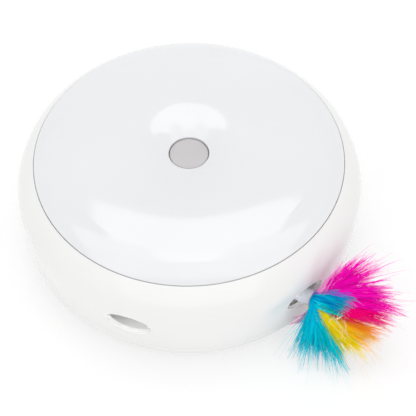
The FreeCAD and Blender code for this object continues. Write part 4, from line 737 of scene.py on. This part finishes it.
GLOW_RADIUS, GLOW_HEIGHT = 78 * MM, 44 * MM
WHITE = (1, 1, 1, 1)
WORLD_LEVEL = 0.86
FLOOR_HALF = 3.0
FLOOR_SHADE = 0.90
FLOOR_LIFTED = 0.5         # share of the floor's shading that is left out where it is seen
FLOOR_LIFT = 0.55          # the even white that takes its place


def make_camera():
    data = bpy.data.cameras.new("camera")
    data.lens = CAMERA_LENS
    data.sensor_width = CAMERA_SENSOR
    data.clip_start, data.clip_end = CAMERA_NEAR, CAMERA_FAR
    camera = bpy.data.objects.new("camera", data)
    down, yaw, roll = (math.radians(a) for a in (CAMERA_DOWN, CAMERA_YAW, CAMERA_ROLL))
    right = Vector((math.cos(yaw), math.sin(yaw), 0))
    level = Vector((-math.sin(yaw), math.cos(yaw), 0))
    up = level * math.sin(down) + Vector((0, 0, math.cos(down)))
    forward = level * math.cos(down) - Vector((0, 0, math.sin(down)))
    rolled_right = right * math.cos(roll) + up * math.sin(roll)
    rolled_up = up * math.cos(roll) - right * math.sin(roll)
    axes = Matrix((rolled_right, rolled_up, -forward)).transposed()
    camera.matrix_world = Matrix.Translation(CAMERA_AT) @ axes.to_4x4()
    bpy.context.scene.collection.objects.link(camera)
    bpy.context.scene.camera = camera


def area_light(name, place, aim, width, depth, radiance):
    data = bpy.data.lights.new(name, "AREA")
    data.shape = "RECTANGLE"
    data.size, data.size_y = width, depth
    data.energy = radiance * math.pi * width * depth
    light = bpy.data.objects.new(name, data)
    light.location = place
    light.rotation_mode = "QUATERNION"
    light.rotation_quaternion = (Vector(aim) - Vector(place)).to_track_quat("-Z", "Y")
    bpy.context.scene.collection.objects.link(light)
    return light


def light_only(light, pieces):
    """Lets a lamp light these pieces and nothing else."""
    lit = bpy.data.collections.new(light.name + "_lit")
    for piece in pieces:
        lit.objects.link(piece)
    light.light_linking.receiver_collection = lit


def lid_card():
    """A wide pale card over the lid that shows in its gloss. The lid's colour is set with it on."""
    card = area_light(*LID_CARD)
    card.visible_diffuse = False
    light_only(card, [nodes["lid"]])


def tuft_fill(pieces):
    """A soft light for the tuft alone, to make up for the light that its barbs take from each other."""
    place = ROOT + Vector(TUFT_FILL_FROM)
    light = area_light("tuft_fill", place, ROOT, TUFT_FILL_SIZE, TUFT_FILL_SIZE, TUFT_FILL_RADIANCE)
    light_only(light, pieces)


def window_glow():
    """Small lamps inside, between the windows: the light that the white walls pass on."""
    for k in range(GLOW_PLACES):
        if k == GLOW_LEFT_OUT:
            continue
        data = bpy.data.lights.new(f"glow_{k}", "POINT")
        data.energy = GLOW_POWER
        data.shadow_soft_size = GLOW_SIZE
        light = bpy.data.objects.new(f"glow_{k}", data)
        light.visible_camera = False
        a = math.radians(GLOW_AZIMUTH + 360 / GLOW_PLACES * k)
        light.location = (GLOW_RADIUS * math.sin(a), -GLOW_RADIUS * math.cos(a), GLOW_HEIGHT)
        bpy.context.scene.collection.objects.link(light)


def seen_rays(add, link):
    """1 for the rays that show the background: the camera's, mirrored ones and those through glass."""
    path = add("ShaderNodeLightPath")
    direct, total = add("ShaderNodeMath"), add("ShaderNodeMath")
    direct.operation = total.operation = "MAXIMUM"
    link(path.outputs["Is Camera Ray"], direct.inputs[0])
    link(path.outputs["Is Glossy Ray"], direct.inputs[1])
    link(direct.outputs[0], total.inputs[0])
    link(path.outputs["Is Transmission Ray"], total.inputs[1])
    return total.outputs[0]


def make_world():
    """An even white surround, which is seen as full white."""
    world = bpy.data.worlds.new("studio")
    world.use_nodes = True
    tree = world.node_tree
    lights = tree.nodes["Background"]
    lights.inputs["Color"].default_value = WHITE
    lights.inputs["Strength"].default_value = WORLD_LEVEL
    seen = tree.nodes.new("ShaderNodeBackground")
    seen.inputs["Color"].default_value = WHITE
    choose = tree.nodes.new("ShaderNodeMixShader")
    tree.links.new(seen_rays(tree.nodes.new, tree.links.new), choose.inputs[0])
    tree.links.new(lights.outputs[0], choose.inputs[1])
    tree.links.new(seen.outputs[0], choose.inputs[2])
    tree.links.new(choose.outputs[0], tree.nodes["World Output"].inputs["Surface"])
    bpy.context.scene.world = world


def make_floor():
    """A white floor. Where it is seen it is lifted towards white and keeps the object's shadow."""
    mesh = bpy.data.meshes.new("floor")
    corners = [(x * FLOOR_HALF, y * FLOOR_HALF, 0) for x, y in ((-1, -1), (1, -1), (1, 1), (-1, 1))]
    mesh.from_pydata(corners, [], [(0, 1, 2, 3)])
    floor = bpy.data.objects.new("floor", mesh)
    bpy.context.scene.collection.objects.link(floor)
    s = Shader("floor", Roughness=0.9, Specular_IOR_Level=0.1)
    varied(s, shade(FLOOR_SHADE), spread=0.004, scale=0.01)
    plain = s.principled.outputs[0]
    lift = s.add("ShaderNodeEmission", Strength=FLOOR_LIFT)
    dimmed = s.add("ShaderNodeMixShader", Fac=FLOOR_LIFTED)
    lifted = s.add("ShaderNodeAddShader")
    choose = s.add("ShaderNodeMixShader")
    s.link(plain, dimmed.inputs[1])
    s.link(dimmed.outputs[0], lifted.inputs[0])
    s.link(lift.outputs[0], lifted.inputs[1])
    s.link(seen_rays(s.add, s.link), choose.inputs[0])
    s.link(plain, choose.inputs[1])
    s.link(lifted.outputs[0], choose.inputs[2])
    s.link(choose.outputs[0], s.nodes["Material Output"].inputs["Surface"])
    mesh.materials.append(s.material)


def make_studio():
    make_world()
    make_floor()
    for softbox in SOFTBOXES:
        area_light(*softbox)
    lid_card()
    window_glow()


make_camera()
make_studio()
dress_nodes()
button_coil()
tuft_fill(feather_tuft())
bpy.context.scene.view_settings.view_transform = "Standard"
